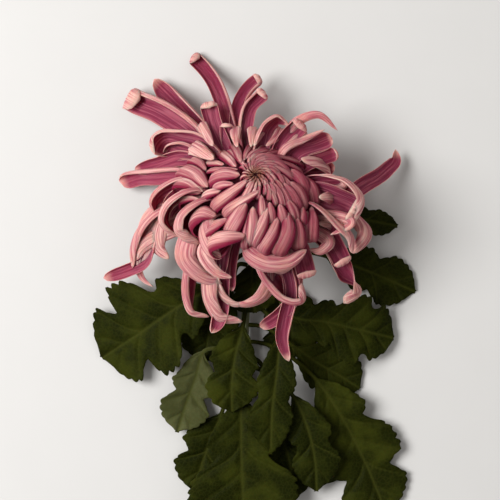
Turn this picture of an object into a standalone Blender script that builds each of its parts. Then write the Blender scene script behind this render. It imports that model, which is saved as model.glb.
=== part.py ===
"""A cut spider chrysanthemum lying on its back on a table, its face tipped towards +Y.

The table is z = 0. The stem runs from the head towards -Y. Records and constants
are in millimetres and in sketch coordinates, whose x = y = 0 is the crown of the
bloom; MM and FOOTPRINT_CENTRE turn them into metres about the middle of the
flower's footprint.
"""

import math
from collections import namedtuple

import bmesh
import bpy
import numpy as np

MM = 0.001
FOOTPRINT_CENTRE = np.array([-0.5, -83.55, 0.0])

# The head: a low dome of incurved florets on a tilted face plane.
FACE_TILT = math.radians(33)
FACE_CENTRE = np.array([0.0, -11.0, 47.0])
FACE_RIGHT = np.array([1.0, 0.0, 0.0])
FACE_UP = np.array([0.0, math.cos(FACE_TILT), -math.sin(FACE_TILT)])
FACE_AXIS = np.array([0.0, math.sin(FACE_TILT), math.cos(FACE_TILT)])
DOME_RADIUS = 33.0
DOME_HEIGHT = 20.0
ROOT_RADIUS = 13.0
ROOT_DEPTH = 4.0

# Petals: a chevron's thickness and the angle of its two halves, in radians. Widths
# are shares of the record's width at the root and at the tip.
PETAL_THICKNESS = 1.5
PETAL_CUP = 1.0
ROOT_WIDTH = 0.3
TIP_WIDTH = 0.4
WIDEST_SHARE = 0.6
TAPER_END = 1.1
TAPER_LENGTH = 0.22
ROLL_START = 0.25
FINE_POINTS = 60
OUTER_STATIONS = 6
DOME_STATIONS = 5
INNER_STATIONS = 3

# A blade's ring of points goes left edge, outer crease, right edge, inner crease. Each
# facet is an edge, a crease, and whether its winding is turned.
FACETS = ((0, 1, False), (2, 1, True), (2, 3, False), (0, 3, True))

# A dome floret's bend under its heel, and how far it arches off the dome, as a share
# of its width.
HEEL_SETBACK = 1.5
HEEL_RISE = 5.0
ARCH = 0.45
TIP_LIFT = 0.15

# The core that all florets grow from, as radius and height over the face plane.
CORE_PROFILE = ((0, 14.0), (10, 12.5), (19, 8.0), (25, 1.0), (22, -5.0), (9, -9.0), (0, -9.0))
CORE_SIDES = 16

# Florets of the very middle, placed by the golden angle.
INNER_COUNT = 19
INNER_RADIUS = 19.0
GOLDEN_ANGLE = math.radians(137.5)
INNER_SWIRL = 0.45
INNER_REACH = (0.38, 0.5)
INNER_WIDTH = 1.8
INNER_GROWTH = 2.0
INNER_SEED = 5

# The green cup of bracts behind the head, seated on the core.
SEAT_GAP = 0.3
CUP_PROFILE = ((0, -9.3), (7.5, -9.3), (9.5, -10.5), (8.6, -13.5), (5.2, -17.0), (3.2, -18.5), (0, -18.5))
CUP_SIDES = 24
BRACT_RELIEF = 0.07
BRACTS = 8

STEM_RADIUS = 2.3
STEM_SIDES = 8
STEM_STATIONS = 20
STEM_PATH = (
    (0, -27.0, 22.5),
    (-2, -40, 11),
    (-5, -62, 6.5),
    (-7, -100, 5.0),
    (-8, -150, 3.6),
    (-6, -231, 2.2),
)
STEM_TOP_DEPTH = 18.8
STEM_FINE_POINTS = 200

LEAF_THICKNESS = 0.9
PETIOLE_WIDTH = 2.2
PETIOLE_THICKNESS = 1.7
STALK_RISE = 3.0
LOBE_LEAN = 0.22
LEAF_WIDEST = 1.15
LEAF_FULLNESS = 0.7
CLEFT_SHARPNESS = 4
LEAF_COLUMNS = (-1.0, 0.0, 1.0)
STATIONS_PER_LOBE = 4

PETAL_COLOUR = (0.52, 0.21, 0.24)
PETAL_ROUGHNESS = 0.55
BRACT_COLOUR = (0.05, 0.08, 0.02)
STEM_COLOUR = (0.06, 0.08, 0.02)
GREEN_ROUGHNESS = 0.6
LEAF_COLOUR = (0.03, 0.05, 0.01)
LEAF_ROUGHNESS = 0.5

# A petal that shows its whole length: width, rolls and points from the dome's edge to
# the tip. A roll is the angle of the petal's inner face: 0 faces up, 90 faces to the
# right of its run, 180 faces down. Rolls are spread evenly over the petal.
Petal = namedtuple("Petal", "width rolls points")

TOP_PETALS = (
    Petal(
        9.0, (0, 10),
        ((-15.8, 28, 27), (-19.5, 42.5, 18), (-24.3, 53, 8), (-34, 63, 0.3), (-36.5, 62, 0.8)),
    ),
    Petal(8.5, (-10, 0), ((-9, 29, 28), (-6.6, 40, 20), (-1.4, 49.5, 15), (1.5, 49.5, 18))),
    Petal(10.0, (0, 10), ((-7, 26, 33), (-3.5, 35, 28), (1.6, 42, 25), (5, 42, 28))),
    Petal(11.0, (5, 0), ((-29.6, 25, 26), (-40.7, 37, 15), (-49, 46.5, 3.5), (-52.2, 49.5, 0.9))),
    Petal(12.0, (-35, -30), ((-31.5, 22.6, 31), (-47.3, 33.5, 19), (-62.5, 41.5, 5), (-67, 45.5, 4))),
    Petal(8.5, (0, 0), ((-20.2, 23.3, 36), (-23.4, 32.7, 31), (-25, 38.5, 31))),
    Petal(7.0, (0, 0), ((-14, 17.5, 42), (-15.5, 25.5, 41))),
    Petal(7.5, (0, 0), ((-17.5, 13.5, 44), (-22.5, 22.5, 40))),
)

LEFT_PETALS = (
    Petal(10.0, (-60, -60, -110), ((-28.5, 17, 37), (-40.7, 22, 31), (-50, 21.5, 24), (-53, 14.5, 21))),
    Petal(5.5, (-60, -100), ((-38.6, 20, 32), (-46.4, 19.7, 27), (-48, 12.5, 24))),
    Petal(9.5, (-20, -10), ((-34.9, 9.2, 35), (-49.2, 6, 23), (-61.6, 3, 11))),
    Petal(9.5, (-45, -50), ((-33.9, 1.5, 37), (-49.5, 1.4, 26), (-65, 0.5, 6.5), (-71, -2.4, 0.7))),
    Petal(
        9.0, (-50, -80, -130),
        ((-42.9, -4.2, 41), (-50.6, -8.2, 37), (-54.3, -14.6, 33), (-52.9, -20.2, 31)),
    ),
    Petal(9.0, (-60, -90, -150), ((-37, -7.5, 46), (-45.8, -15, 42), (-48.9, -23.5, 38), (-44.5, -32, 35))),
    Petal(9.0, (-90, -150), ((-33.5, -15.5, 52), (-40, -21.5, 49), (-39.5, -28.5, 46), (-31.5, -36, 44))),
    Petal(9.0, (-60, -150), ((-52.8, -19.3, 32), (-61, -28.3, 29), (-65.3, -37, 27), (-64.4, -42, 26))),
    Petal(10.0, (-150, -170), ((-51.7, -23, 37), (-55.2, -32.5, 34), (-51.7, -39, 32), (-46, -41.6, 32))),
    Petal(10.0, (-170, -170), ((-55.9, -27, 32), (-61.7, -37, 28), (-65, -47, 25))),
    Petal(7.5, (10, 0), ((-50, -34, 29), (-56, -41.5, 27), (-65, -47.8, 24), (-77, -52.4, 21))),
    Petal(4.5, (180, 180), ((-59.3, -46, 25), (-57.4, -54, 22), (-53.4, -57, 21))),
)

LOWER_PETALS = (
    Petal(13.0, (-150, -170), ((-35.5, -34, 45), (-39, -41, 43), (-33, -49, 41), (-21.5, -55, 40))),
    Petal(9.5, (-110, -160), ((-31, -27.5, 54), (-30, -36, 53), (-25, -41.5, 51), (-19, -44, 51))),
    Petal(7.5, (-150, -170), ((-27, -43, 48), (-21, -50, 46), (-13, -52.5, 46))),
    Petal(9.0, (-110, -150), ((-36, -48, 38), (-37, -62.5, 33), (-33.5, -70, 30), (-26, -73, 30))),
    Petal(9.5, (-150, -180), ((-26, -54, 40), (-25, -64, 36), (-20, -72, 34), (-8.5, -74.5, 33))),
    Petal(7.0, (-150, -170), ((-21, -55, 39), (-17.5, -62.5, 36), (-10.5, -65, 35), (-5, -65, 35))),
    Petal(9.5, (0, 20), ((-16.5, -41, 43), (-17.5, -55, 33), (-16.5, -68, 29), (-21, -79, 27))),
    Petal(6.0, (20, 20), ((-10.5, -35, 45), (-12.5, -46, 39), (-12, -58, 32))),
    Petal(8.5, (-120, -150), ((-5, -39, 61), (5, -43.5, 62), (16.5, -43.5, 61), (25, -37.5, 60))),
    Petal(7.0, (170, 180), ((35, -33, 52), (31, -38, 51), (25, -38, 50))),
    Petal(
        9.0, (-70, -110, -150),
        ((0.5, -43.5, 54), (4.5, -54, 48), (13, -62.5, 44), (21.5, -64, 43), (27, -58, 43)),
    ),
    Petal(6.0, (150, 160), ((9, -56, 42), (3, -62, 38), (-5, -65.5, 32), (-12, -66, 31))),
    Petal(
        10.0, (0, 0),
        ((22, -40, 50), (26.5, -46, 46), (29.5, -51, 45), (27.5, -52, 49), (20.5, -51, 50)),
    ),
    Petal(
        8.5, (0, 0),
        ((20, -43.5, 45), (19.5, -58, 39), (13.8, -70.5, 35), (12.3, -83.3, 32), (15.8, -94, 31)),
    ),
    Petal(7.0, (0, 0), ((17, -55, 40), (11, -66, 36), (1, -75, 34))),
)

RIGHT_PETALS = (
    Petal(
        10.0, (0, 0),
        ((33, -28.5, 46), (39.5, -36.5, 42), (45.5, -44, 39), (43, -45.5, 43), (38, -45, 43)),
    ),
    Petal(9.0, (0, 10, 120, 190), ((44, -41, 36), (47.3, -50.2, 33), (49.5, -57.4, 30), (43, -65.5, 29))),
    Petal(9.5, (60, 130), ((29, -17, 56), (40, -24.5, 54), (47, -32.5, 51), (47, -40, 49))),
    Petal(4.5, (180, 180), ((44, -24, 57), (41, -28, 57), (36.5, -29.5, 57))),
    Petal(13.0, (10, 20), ((26.5, -10, 53), (39, -12.5, 49), (49, -18.5, 46))),
    Petal(7.0, (140, 160), ((31.5, -2.5, 54), (44, -4.5, 53), (53, -12.5, 50), (51.5, -23.5, 47))),
    Petal(4.5, (150, 170), ((42, -6, 56), (40, -1.5, 58), (27.5, -1, 59))),
    Petal(8.5, (130, 160), ((50, -18, 46), (57, -30, 42), (49, -40.5, 40))),
    Petal(
        8.5, (10, 20),
        ((44.7, -9.6, 34), (54.4, -5.8, 25), (66.7, 1.5, 9), (73.5, 8, 0.2), (70, 12.3, 0.8)),
    ),
    Petal(10.0, (0, 0), ((2.5, 18.5, 44), (8, 24.5, 39), (12, 28.5, 38), (15, 25.5, 42))),
    Petal(10.0, (0, 10), ((14, 18.5, 43), (19.5, 25, 39), (23.5, 26.5, 39), (23.5, 20, 43))),
    Petal(5.5, (140, 160), ((16, 20, 38), (24.4, 29.6, 33), (33.7, 30.4, 29), (41.5, 23.4, 26))),
    Petal(6.5, (150, 150), ((14, 14, 49), (21.5, 18, 45), (34, 22.5, 40))),
    Petal(11.0, (0, 0), ((21.5, 12.5, 45), (30.7, 16.5, 39), (39.3, 21, 33))),
    Petal(9.5, (0, 0), ((30.5, 5.5, 44), (36, 8, 40), (40.5, 12, 36))),
)

# An incurved floret of the dome: width, then the x and y of its heel, where it turns
# inwards over the dome's edge, and of its tip.
Floret = namedtuple("Floret", "width heel tip")

DOME_FLORETS = (
    Floret(7.0, (3.5, -37), (10, -22)),
    Floret(9.5, (9, -39), (14.5, -20)),
    Floret(7.5, (20, -34), (18, -21)),
    Floret(7.0, (14, -28.5), (11, -15.5)),
    Floret(6.0, (20.5, -23.5), (15, -13)),
    Floret(5.0, (8.5, -25), (5.5, -14.5)),
    Floret(7.0, (-1.5, -34), (5, -17.5)),
    Floret(7.0, (-5.5, -34), (-2, -17)),
    Floret(8.0, (-13, -29), (-6.5, -15.5)),
    Floret(6.0, (-21.5, -16.5), (-5.5, -5)),
    Floret(6.0, (-18, -22), (-1.5, -10.5)),
    Floret(5.0, (3.5, -21), (1.5, -11.5)),
    Floret(6.0, (23.5, -7.5), (17, 2)),
    Floret(7.5, (28, -14), (23, -2)),
    Floret(7.0, (23.5, -16), (16.5, -4.5)),
    Floret(6.0, (20.5, -17), (12.5, -5)),
    Floret(6.0, (24.5, -26.5), (22, -16.5)),
    Floret(9.0, (27.5, -31.5), (26, -17)),
    Floret(7.0, (23, 7), (3.5, 11)),
    Floret(6.0, (25, 1), (5.5, 8.5)),
    Floret(9.5, (34, 4.5), (22, 7.5)),
    Floret(6.0, (-13, 16.5), (-6, 3.5)),
    Floret(5.5, (-9.5, 17), (-5.5, 7.5)),
    Floret(5.0, (-5, 21), (-3.5, 7.5)),
    Floret(6.0, (-20.5, 12), (-8, 2)),
    Floret(6.0, (-9.5, 23), (-9, 17)),
    Floret(6.0, (0, 23), (-1.5, 16.5)),
    Floret(5.5, (3.5, 14), (0, 8.5)),
    Floret(5.5, (10, 18.5), (5.5, 14)),
    Floret(5.5, (-27, 6), (-11.5, 3)),
    Floret(7.5, (-23.5, -2.5), (-6.5, -1)),
    Floret(6.0, (-22.5, -7), (-7.5, -4.5)),
    Floret(6.0, (-27.5, -9.5), (-17.5, -9)),
    Floret(6.0, (-34, 9), (-25.5, 1.5)),
    Floret(9.0, (-31.5, 13), (-21.5, 8.5)),
    Floret(6.0, (-25, 21), (-21.5, 15.5)),
    Floret(12.0, (-39.5, -2.5), (-24.5, -7)),
    Floret(7.0, (-39.5, -11), (-28, -12)),
    Floret(9.5, (-33, -23), (-20, -22)),
    Floret(7.0, (-27.5, -29), (-14.5, -23)),
    Floret(9.0, (-23.5, -33), (-6, -31.5)),
    Floret(7.5, (38, -14), (32, -10)),
    Floret(7.0, (37.5, -27), (31, -24)),
)

# A leaf: where its stalk leaves the stem, as a share of the stem's length, the width of
# its blade, the number of lobes to a side, how far the clefts between them cut in, its
# roll as for a petal, and the points of its midrib from the blade's base to its tip.
Leaf = namedtuple("Leaf", "stem_share width lobes cleft roll points")

LEAVES = (
    Leaf(0.12, 54, 3, 0.55, 0, ((-23, -56, 17), (-41, -67, 15), (-60.5, -80.5, 9), (-81, -94, 0.8))),
    Leaf(0.36, 27, 2, 0.50, 0, ((-27, -90, 7), (-32, -104, 8), (-37, -118, 8), (-41.5, -132.5, 6.5))),
    Leaf(0.44, 30, 2, 0.50, 0, ((-18, -122, 4.5), (-24, -136, 3.5), (-29, -150, 2.2), (-33, -164, 0.9))),
    Leaf(0.27, 29, 2, 0.40, 0, ((-7, -76, 18), (-11, -91, 20), (-13, -106, 20), (-13, -121, 17))),
    Leaf(0.25, 23, 2, 0.40, 0, ((11, -80, 20), (10.5, -97, 24), (8, -117, 22), (7, -143, 16))),
    Leaf(0.18, 36, 3, 0.40, 0, ((20, -72.5, 15), (35, -74.5, 15), (53.5, -79, 11), (71.5, -83.5, 4))),
    Leaf(0.10, 28, 2, 0.45, 0, ((35, -40.5, 11), (48.5, -45, 8), (65.5, -51.5, 4), (83, -59.5, 0.8))),
    Leaf(0.05, 14, 2, 0.30, 0, ((40, -19.5, 17), (51, -21, 13), (63, -23, 9), (73.5, -25, 5))),
    Leaf(0.30, 30, 2, 0.45, 0, ((20, -88, 7), (31, -96, 5), (43, -103, 3), (54, -110, 1.5))),
    Leaf(0.34, 44, 3, 0.50, 0, ((30, -104, 9), (42, -121, 8), (55, -145, 4), (68, -176, 0.8))),
    Leaf(0.40, 26, 2, 0.45, 0, ((18, -112, 14), (26, -129, 15), (30, -146, 12), (31, -163, 8))),
    Leaf(0.42, 56, 3, 0.55, 0, ((-8, -112, 13), (-8, -140, 14), (-7, -170, 11), (-6, -200, 6))),
    Leaf(0.07, 26, 2, 0.40, 0, ((-2, -44, 19), (-2.5, -53, 18), (-2, -61.5, 16.5), (-1, -70, 15))),
    Leaf(0.14, 32, 2, 0.45, 0, ((9, -54, 6), (14, -64, 3), (18, -78, 2), (19, -94, 1.2))),
    Leaf(0.38, 30, 2, 0.45, 0, ((6, -112, 5), (12, -130, 4), (17, -148, 2.5), (20, -168, 1))),
    Leaf(0.16, 34, 2, 0.45, 0, ((-13, -56, 5), (-20, -68, 3.0), (-25, -82, 2.2), (-27, -96, 1.2))),
)


def unit(vector):
    return vector / np.linalg.norm(vector)


def on_dome(x, y):
    """The point of the dome, or of the face plane round it, that shows at x, y from above.

    The dome's height falls with the square of the distance from its axis, so the way up
    the face solves a quadratic.
    """
    lift = DOME_HEIGHT * FACE_AXIS[1]
    square = lift / DOME_RADIUS**2
    rest = lift - square * x * x - (y - FACE_CENTRE[1])
    up = -2 * rest / (FACE_UP[1] + math.sqrt(max(FACE_UP[1] ** 2 + 4 * square * rest, 0.0)))
    height = DOME_HEIGHT * (1 - (x * x + up * up) / DOME_RADIUS**2)
    if height < 0:
        height = 0.0
        up = (y - FACE_CENTRE[1]) / FACE_UP[1]
    return FACE_CENTRE + x * FACE_RIGHT + up * FACE_UP + height * FACE_AXIS


def spline(points, count):
    """Evenly spaced points of a smooth curve through the given ones."""
    points = np.array(points, float)
    gaps = np.linalg.norm(np.diff(points, axis=0), axis=1)
    knots = np.concatenate([[0], np.cumsum(gaps)])
    slopes = np.gradient(points, knots, axis=0)
    at = np.linspace(0, knots[-1], count)
    left = np.clip(np.searchsorted(knots, at, side="right") - 1, 0, len(gaps) - 1)
    gap = gaps[left][:, None]
    u = (at[:, None] - knots[left][:, None]) / gap
    start = (1 + 2 * u) * (1 - u) ** 2 * points[left] + u * (1 - u) ** 2 * gap * slopes[left]
    end = u * u * (3 - 2 * u) * points[left + 1] + u * u * (u - 1) * gap * slopes[left + 1]
    return start + end


def tangents(path):
    steps = np.gradient(path, axis=0)
    return steps / np.linalg.norm(steps, axis=1)[:, None]


def carried_normals(path, backward=False):
    """The upward normal at one end of the path, carried along it without twisting."""
    along = tangents(path)
    if backward:
        return along, carried_normals(path[::-1])[1][::-1]
    normal = np.array([0.0, 0.0, 1.0])
    normals = []
    for direction in along:
        normal = unit(normal - normal.dot(direction) * direction)
        normals.append(normal)
    return along, np.array(normals)


def rolled(along, normals, degrees):
    angle = np.radians(degrees)[:, None]
    return np.cos(angle) * normals + np.sin(angle) * np.cross(along, normals)


def petal_widths(shares, width):
    """Narrow at the root, widest past the middle, round at the tip."""
    rise = ROOT_WIDTH + (1 - ROOT_WIDTH) * np.sin(np.clip(shares / WIDEST_SHARE, 0, 1) * math.pi / 2)
    return width * rise * np.clip((TAPER_END - shares) / TAPER_LENGTH, TIP_WIDTH, 1)


def mesh_object(name, vertices, faces):
    mesh = bpy.data.meshes.new(name)
    mesh.from_pydata([tuple(v) for v in (vertices - FOOTPRINT_CENTRE) * MM], [], faces)
    mesh.validate()
    made = bpy.data.objects.new(name, mesh)
    bpy.context.scene.collection.objects.link(made)
    return made


def blade(name, path, normals, widths):
    """A petal as a chevron swept along its path, its edges raised towards its inner face."""
    sides = np.cross(tangents(path), normals)
    half = widths[:, None] / 2
    rise = half * math.tan(PETAL_CUP / 2)
    thick = PETAL_THICKNESS / 2 * normals
    left = path - half * sides + rise * normals
    right = path + half * sides + rise * normals
    rings = np.stack([left, path - thick, right, path + thick], axis=1)
    faces = []
    for i in range(len(path) - 1):
        a, b = 4 * i, 4 * (i + 1)
        for edge, middle, flipped in FACETS:
            pair = [(a + edge, b + edge, b + middle), (a + edge, b + middle, a + middle)]
            faces += [face[::-1] if flipped else face for face in pair]
    last = 4 * (len(path) - 1)
    faces += [(0, 1, 3), (1, 2, 3), (last, last + 3, last + 1), (last + 1, last + 3, last + 2)]
    return mesh_object(name, rings.reshape(-1, 3), faces)


def outer_petal(name, petal):
    """A petal rooted in the core that runs out through its record's points."""
    first = np.array(petal.points[0]) - FACE_CENTRE
    outward = unit(first - first.dot(FACE_AXIS) * FACE_AXIS)
    root = FACE_CENTRE + ROOT_RADIUS * outward - ROOT_DEPTH * FACE_AXIS
    fine = spline([root, *petal.points], FINE_POINTS)
    along, normals = carried_normals(fine)
    shares = np.linspace(0, 1, len(fine))
    rolls = np.interp(shares, np.linspace(ROLL_START, 1, len(petal.rolls)), petal.rolls)
    normals = rolled(along, normals, rolls)
    stations = np.linspace(0, len(fine) - 1, OUTER_STATIONS).astype(int)
    return blade(name, fine[stations], normals[stations], petal_widths(shares[stations], petal.width))


def dome_floret(name, width, heel, tip, stations):
    """A floret that turns up at its heel and arches inwards over the dome to its tip."""
    outward = heel - tip
    outward = unit(outward - outward.dot(FACE_AXIS) * FACE_AXIS)
    side = np.cross(FACE_AXIS, outward)
    middle = (heel + tip) / 2
    inward = middle - FACE_CENTRE
    inward -= inward.dot(FACE_AXIS) * FACE_AXIS
    inward *= min(1.0, ROOT_RADIUS / np.linalg.norm(inward))
    points = (
        FACE_CENTRE + inward - ROOT_DEPTH * FACE_AXIS,
        heel - HEEL_SETBACK * outward - HEEL_RISE * FACE_AXIS,
        heel,
        middle + ARCH * width * FACE_AXIS,
        tip + TIP_LIFT * width * FACE_AXIS,
    )
    fine = spline(points, FINE_POINTS)
    normals = np.cross(tangents(fine), side)
    normals /= np.linalg.norm(normals, axis=1)[:, None]
    picked = np.linspace(0, len(fine) - 1, stations).astype(int)
    shares = picked / (len(fine) - 1)
    return blade(name, fine[picked], normals[picked], petal_widths(shares, width))


def inner_florets():
    """Ever smaller florets, set by the golden angle and swirled towards the crown."""
    rng = np.random.default_rng(INNER_SEED)
    made = []
    for i in range(INNER_COUNT):
        share = math.sqrt((i + 1) / INNER_COUNT)
        radius = INNER_RADIUS * share
        angle = i * GOLDEN_ANGLE
        reach = radius * rng.uniform(*INNER_REACH)
        swirled = angle + INNER_SWIRL
        heel = on_dome(radius * math.cos(angle), FACE_UP[1] * radius * math.sin(angle))
        tip = on_dome(reach * math.cos(swirled), FACE_UP[1] * reach * math.sin(swirled))
        width = INNER_WIDTH + INNER_GROWTH * share
        made.append(dome_floret(f"inner_{i}", width, heel, tip, INNER_STATIONS))
    return made


def turned(name, profile, sides, relief=0.0, lobes=1):
    """A solid about the head's axis from a profile of radius and height, waved into lobes."""
    rings = [p for p in profile if p[0] > 0]
    angles = np.arange(sides) * 2 * math.pi / sides
    points = [FACE_CENTRE + profile[0][1] * FACE_AXIS]
    for radius, height in rings:
        scaled = radius * (1 + relief * np.cos(lobes * angles))
        across = np.outer(scaled * np.cos(angles), FACE_RIGHT)
        points.extend(FACE_CENTRE + across + np.outer(scaled * np.sin(angles), FACE_UP) + height * FACE_AXIS)
    points.append(FACE_CENTRE + profile[-1][1] * FACE_AXIS)
    upward = profile[0][1] > profile[-1][1]
    faces = []
    for k in range(sides):
        n = (k + 1) % sides
        faces.append((0, 1 + k, 1 + n))
        for r in range(len(rings) - 1):
            a, b = 1 + r * sides, 1 + (r + 1) * sides
            faces.append((a + k, b + k, b + n, a + n))
        base = 1 + (len(rings) - 1) * sides
        faces.append((len(points) - 1, base + n, base + k))
    if not upward:
        faces = [face[::-1] for face in faces]
    return mesh_object(name, np.array(points), faces)


def keep_outer_shell(mesh):
    """Fills the small hollows that crossing petals seal and drops loose scraps."""
    shape = bmesh.new()
    shape.from_mesh(mesh)
    waiting = set(shape.verts)
    shells = []
    while waiting:
        front = [waiting.pop()]
        shell = []
        while front:
            corner = front.pop()
            shell.append(corner)
            near = {edge.other_vert(corner) for edge in corner.link_edges} & waiting
            waiting -= near
            front.extend(near)
        shells.append(shell)
    shells.sort(key=len)
    for shell in shells[:-1]:
        bmesh.ops.delete(shape, geom=shell, context="VERTS")
    shape.to_mesh(mesh)
    shape.free()


def fuse(core, pieces):
    """Unites the pieces with the core in one Boolean and removes them."""
    group = bpy.data.collections.new("pieces")
    bpy.context.scene.collection.children.link(group)
    for piece in pieces:
        bpy.context.scene.collection.objects.unlink(piece)
        group.objects.link(piece)
    union = core.modifiers.new("union", "BOOLEAN")
    union.operation = "UNION"
    union.operand_type = "COLLECTION"
    union.collection = group
    union.solver = "MANIFOLD"
    graph = bpy.context.evaluated_depsgraph_get()
    joined = bpy.data.meshes.new_from_object(core.evaluated_get(graph))
    core.modifiers.remove(union)
    keep_outer_shell(joined)
    core.data = joined
    for piece in pieces:
        bpy.data.objects.remove(piece)
    bpy.data.collections.remove(group)


def bloom():
    core = turned("bloom", CORE_PROFILE, CORE_SIDES)
    petals = TOP_PETALS + LEFT_PETALS + LOWER_PETALS + RIGHT_PETALS
    pieces = [outer_petal(f"petal_{i}", petal) for i, petal in enumerate(petals)]
    for i, floret in enumerate(DOME_FLORETS):
        heel, tip = on_dome(*floret.heel), on_dome(*floret.tip)
        pieces.append(dome_floret(f"floret_{i}", floret.width, heel, tip, DOME_STATIONS))
    fuse(core, pieces + inner_florets())
    return core


def stem_line():
    top = FACE_CENTRE - STEM_TOP_DEPTH * FACE_AXIS
    return [top, *STEM_PATH]


def stem():
    """A tube along the stem's line, cut square at its lower end."""
    path = spline(stem_line(), STEM_STATIONS)
    along = tangents(path)
    along[0] = -FACE_AXIS
    points = []
    for centre, direction in zip(path, along):
        side = unit(np.cross(direction, [1.0, 0.0, 0.0]))
        across = np.cross(side, direction)
        for k in range(STEM_SIDES):
            angle = 2 * math.pi * (k + 0.5) / STEM_SIDES
            points.append(centre + STEM_RADIUS * (math.cos(angle) * across + math.sin(angle) * side))
    faces = []
    for i in range(STEM_STATIONS - 1):
        for k in range(STEM_SIDES):
            n = (k + 1) % STEM_SIDES
            a, b = i * STEM_SIDES, (i + 1) * STEM_SIDES
            faces.append((a + k, a + n, b + n, b + k))
    last = (STEM_STATIONS - 1) * STEM_SIDES
    faces.append(tuple(range(STEM_SIDES))[::-1])
    faces.append(tuple(last + k for k in range(STEM_SIDES)))
    return mesh_object("stem", np.array(points), faces)


def leaf_stations(leaf):
    """Points from the stem's skin to the leaf's tip, and each one's half width and thickness."""
    line = spline(stem_line(), STEM_FINE_POINTS)
    centre = line[int(leaf.stem_share * (len(line) - 1))]
    first = np.array(leaf.points[0]) - centre
    run = tangents(line)[int(leaf.stem_share * (len(line) - 1))]
    outward = unit(first - first.dot(run) * run)
    start = centre + (STEM_RADIUS + SEAT_GAP) * outward
    bend = start + STALK_RISE * outward
    stalk = [start, bend]
    blade_count = STATIONS_PER_LOBE * leaf.lobes + 1
    blade_path = spline(leaf.points, blade_count)
    share = np.linspace(0, 1, blade_count)
    envelope = np.sin(math.pi * np.clip(share, 0, 1) ** LEAF_WIDEST) ** LEAF_FULLNESS
    clefts = leaf.cleft * np.cos(math.pi * leaf.lobes * share) ** CLEFT_SHARPNESS
    half = leaf.width / 2 * envelope * (1 - clefts)
    half = np.maximum(half, PETIOLE_WIDTH / 2)
    path = np.vstack([stalk, blade_path])
    halves = np.concatenate([[PETIOLE_WIDTH / 2] * len(stalk), half])
    thickness = np.full(len(path), LEAF_THICKNESS)
    thickness[: len(stalk) + 1] = PETIOLE_THICKNESS
    return path, halves, thickness


def leaf_object(name, leaf):
    """A lobed blade and its stalk as one sheet, its lobes leaning towards the tip."""
    path, halves, thickness = leaf_stations(leaf)
    along, normals = carried_normals(path, backward=True)
    normals = rolled(along, normals, np.full(len(path), leaf.roll))
    sides = np.cross(along, normals)
    columns = np.array(LEAF_COLUMNS)
    reach = halves[:, None, None] * columns[None, :, None]
    lean = LOBE_LEAN * (halves[:, None, None] - PETIOLE_WIDTH / 2) * np.abs(columns)[None, :, None]
    sheet = path[:, None] + reach * sides[:, None] + lean * along[:, None]
    offset = (thickness / 2)[:, None, None] * normals[:, None]
    top, bottom = sheet + offset, sheet - offset
    rows, cols = sheet.shape[:2]
    points = np.concatenate([top.reshape(-1, 3), bottom.reshape(-1, 3)])
    under = rows * cols
    faces = []
    for i in range(rows - 1):
        for j in range(cols - 1):
            a, b = i * cols + j, (i + 1) * cols + j
            for face in ((a, a + 1, b + 1), (a, b + 1, b)):
                faces += [face, tuple(under + v for v in face[::-1])]
    last = (rows - 1) * cols
    rim = list(range(cols))
    rim += [i * cols + cols - 1 for i in range(1, rows)]
    rim += [last + j for j in range(cols - 2, -1, -1)]
    rim += [i * cols for i in range(rows - 2, 0, -1)]
    for v, n in zip(rim, rim[1:] + rim[:1]):
        faces += [(v, under + v, under + n), (v, under + n, n)]
    return mesh_object(name, points, faces)


def paint(thing, colour, roughness):
    material = bpy.data.materials.new(thing.name)
    material.use_nodes = True
    surface = material.node_tree.nodes["Principled BSDF"]
    surface.inputs["Base Color"].default_value = (*colour, 1)
    surface.inputs["Roughness"].default_value = roughness
    surface.inputs["Metallic"].default_value = 0.0
    thing.data.materials.clear()
    thing.data.materials.append(material)


def main():
    for thing in list(bpy.data.objects):
        bpy.data.objects.remove(thing)
    paint(bloom(), PETAL_COLOUR, PETAL_ROUGHNESS)
    cup = turned("involucre", CUP_PROFILE, CUP_SIDES, BRACT_RELIEF, BRACTS)
    paint(cup, BRACT_COLOUR, GREEN_ROUGHNESS)
    paint(stem(), STEM_COLOUR, GREEN_ROUGHNESS)
    for i, leaf in enumerate(LEAVES):
        paint(leaf_object(f"leaf_{i + 1:02d}", leaf), LEAF_COLOUR, LEAF_ROUGHNESS)


main()
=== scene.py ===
"""A cut spider chrysanthemum lying on its back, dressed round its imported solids.

Every shape is a surface of two parameters, worked out with numpy as whole arrays: across
u runs from -1 to 1 and along v from 0 to 1. Records are in millimetres and in sketch
coordinates, whose x = y = 0 is the crown of the bloom. Only the outer petals' places are
pixels of the photo, which sketch() turns into such coordinates. world() turns sketch
coordinates into the row frame's metres.
"""

import math
from collections import namedtuple

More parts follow.
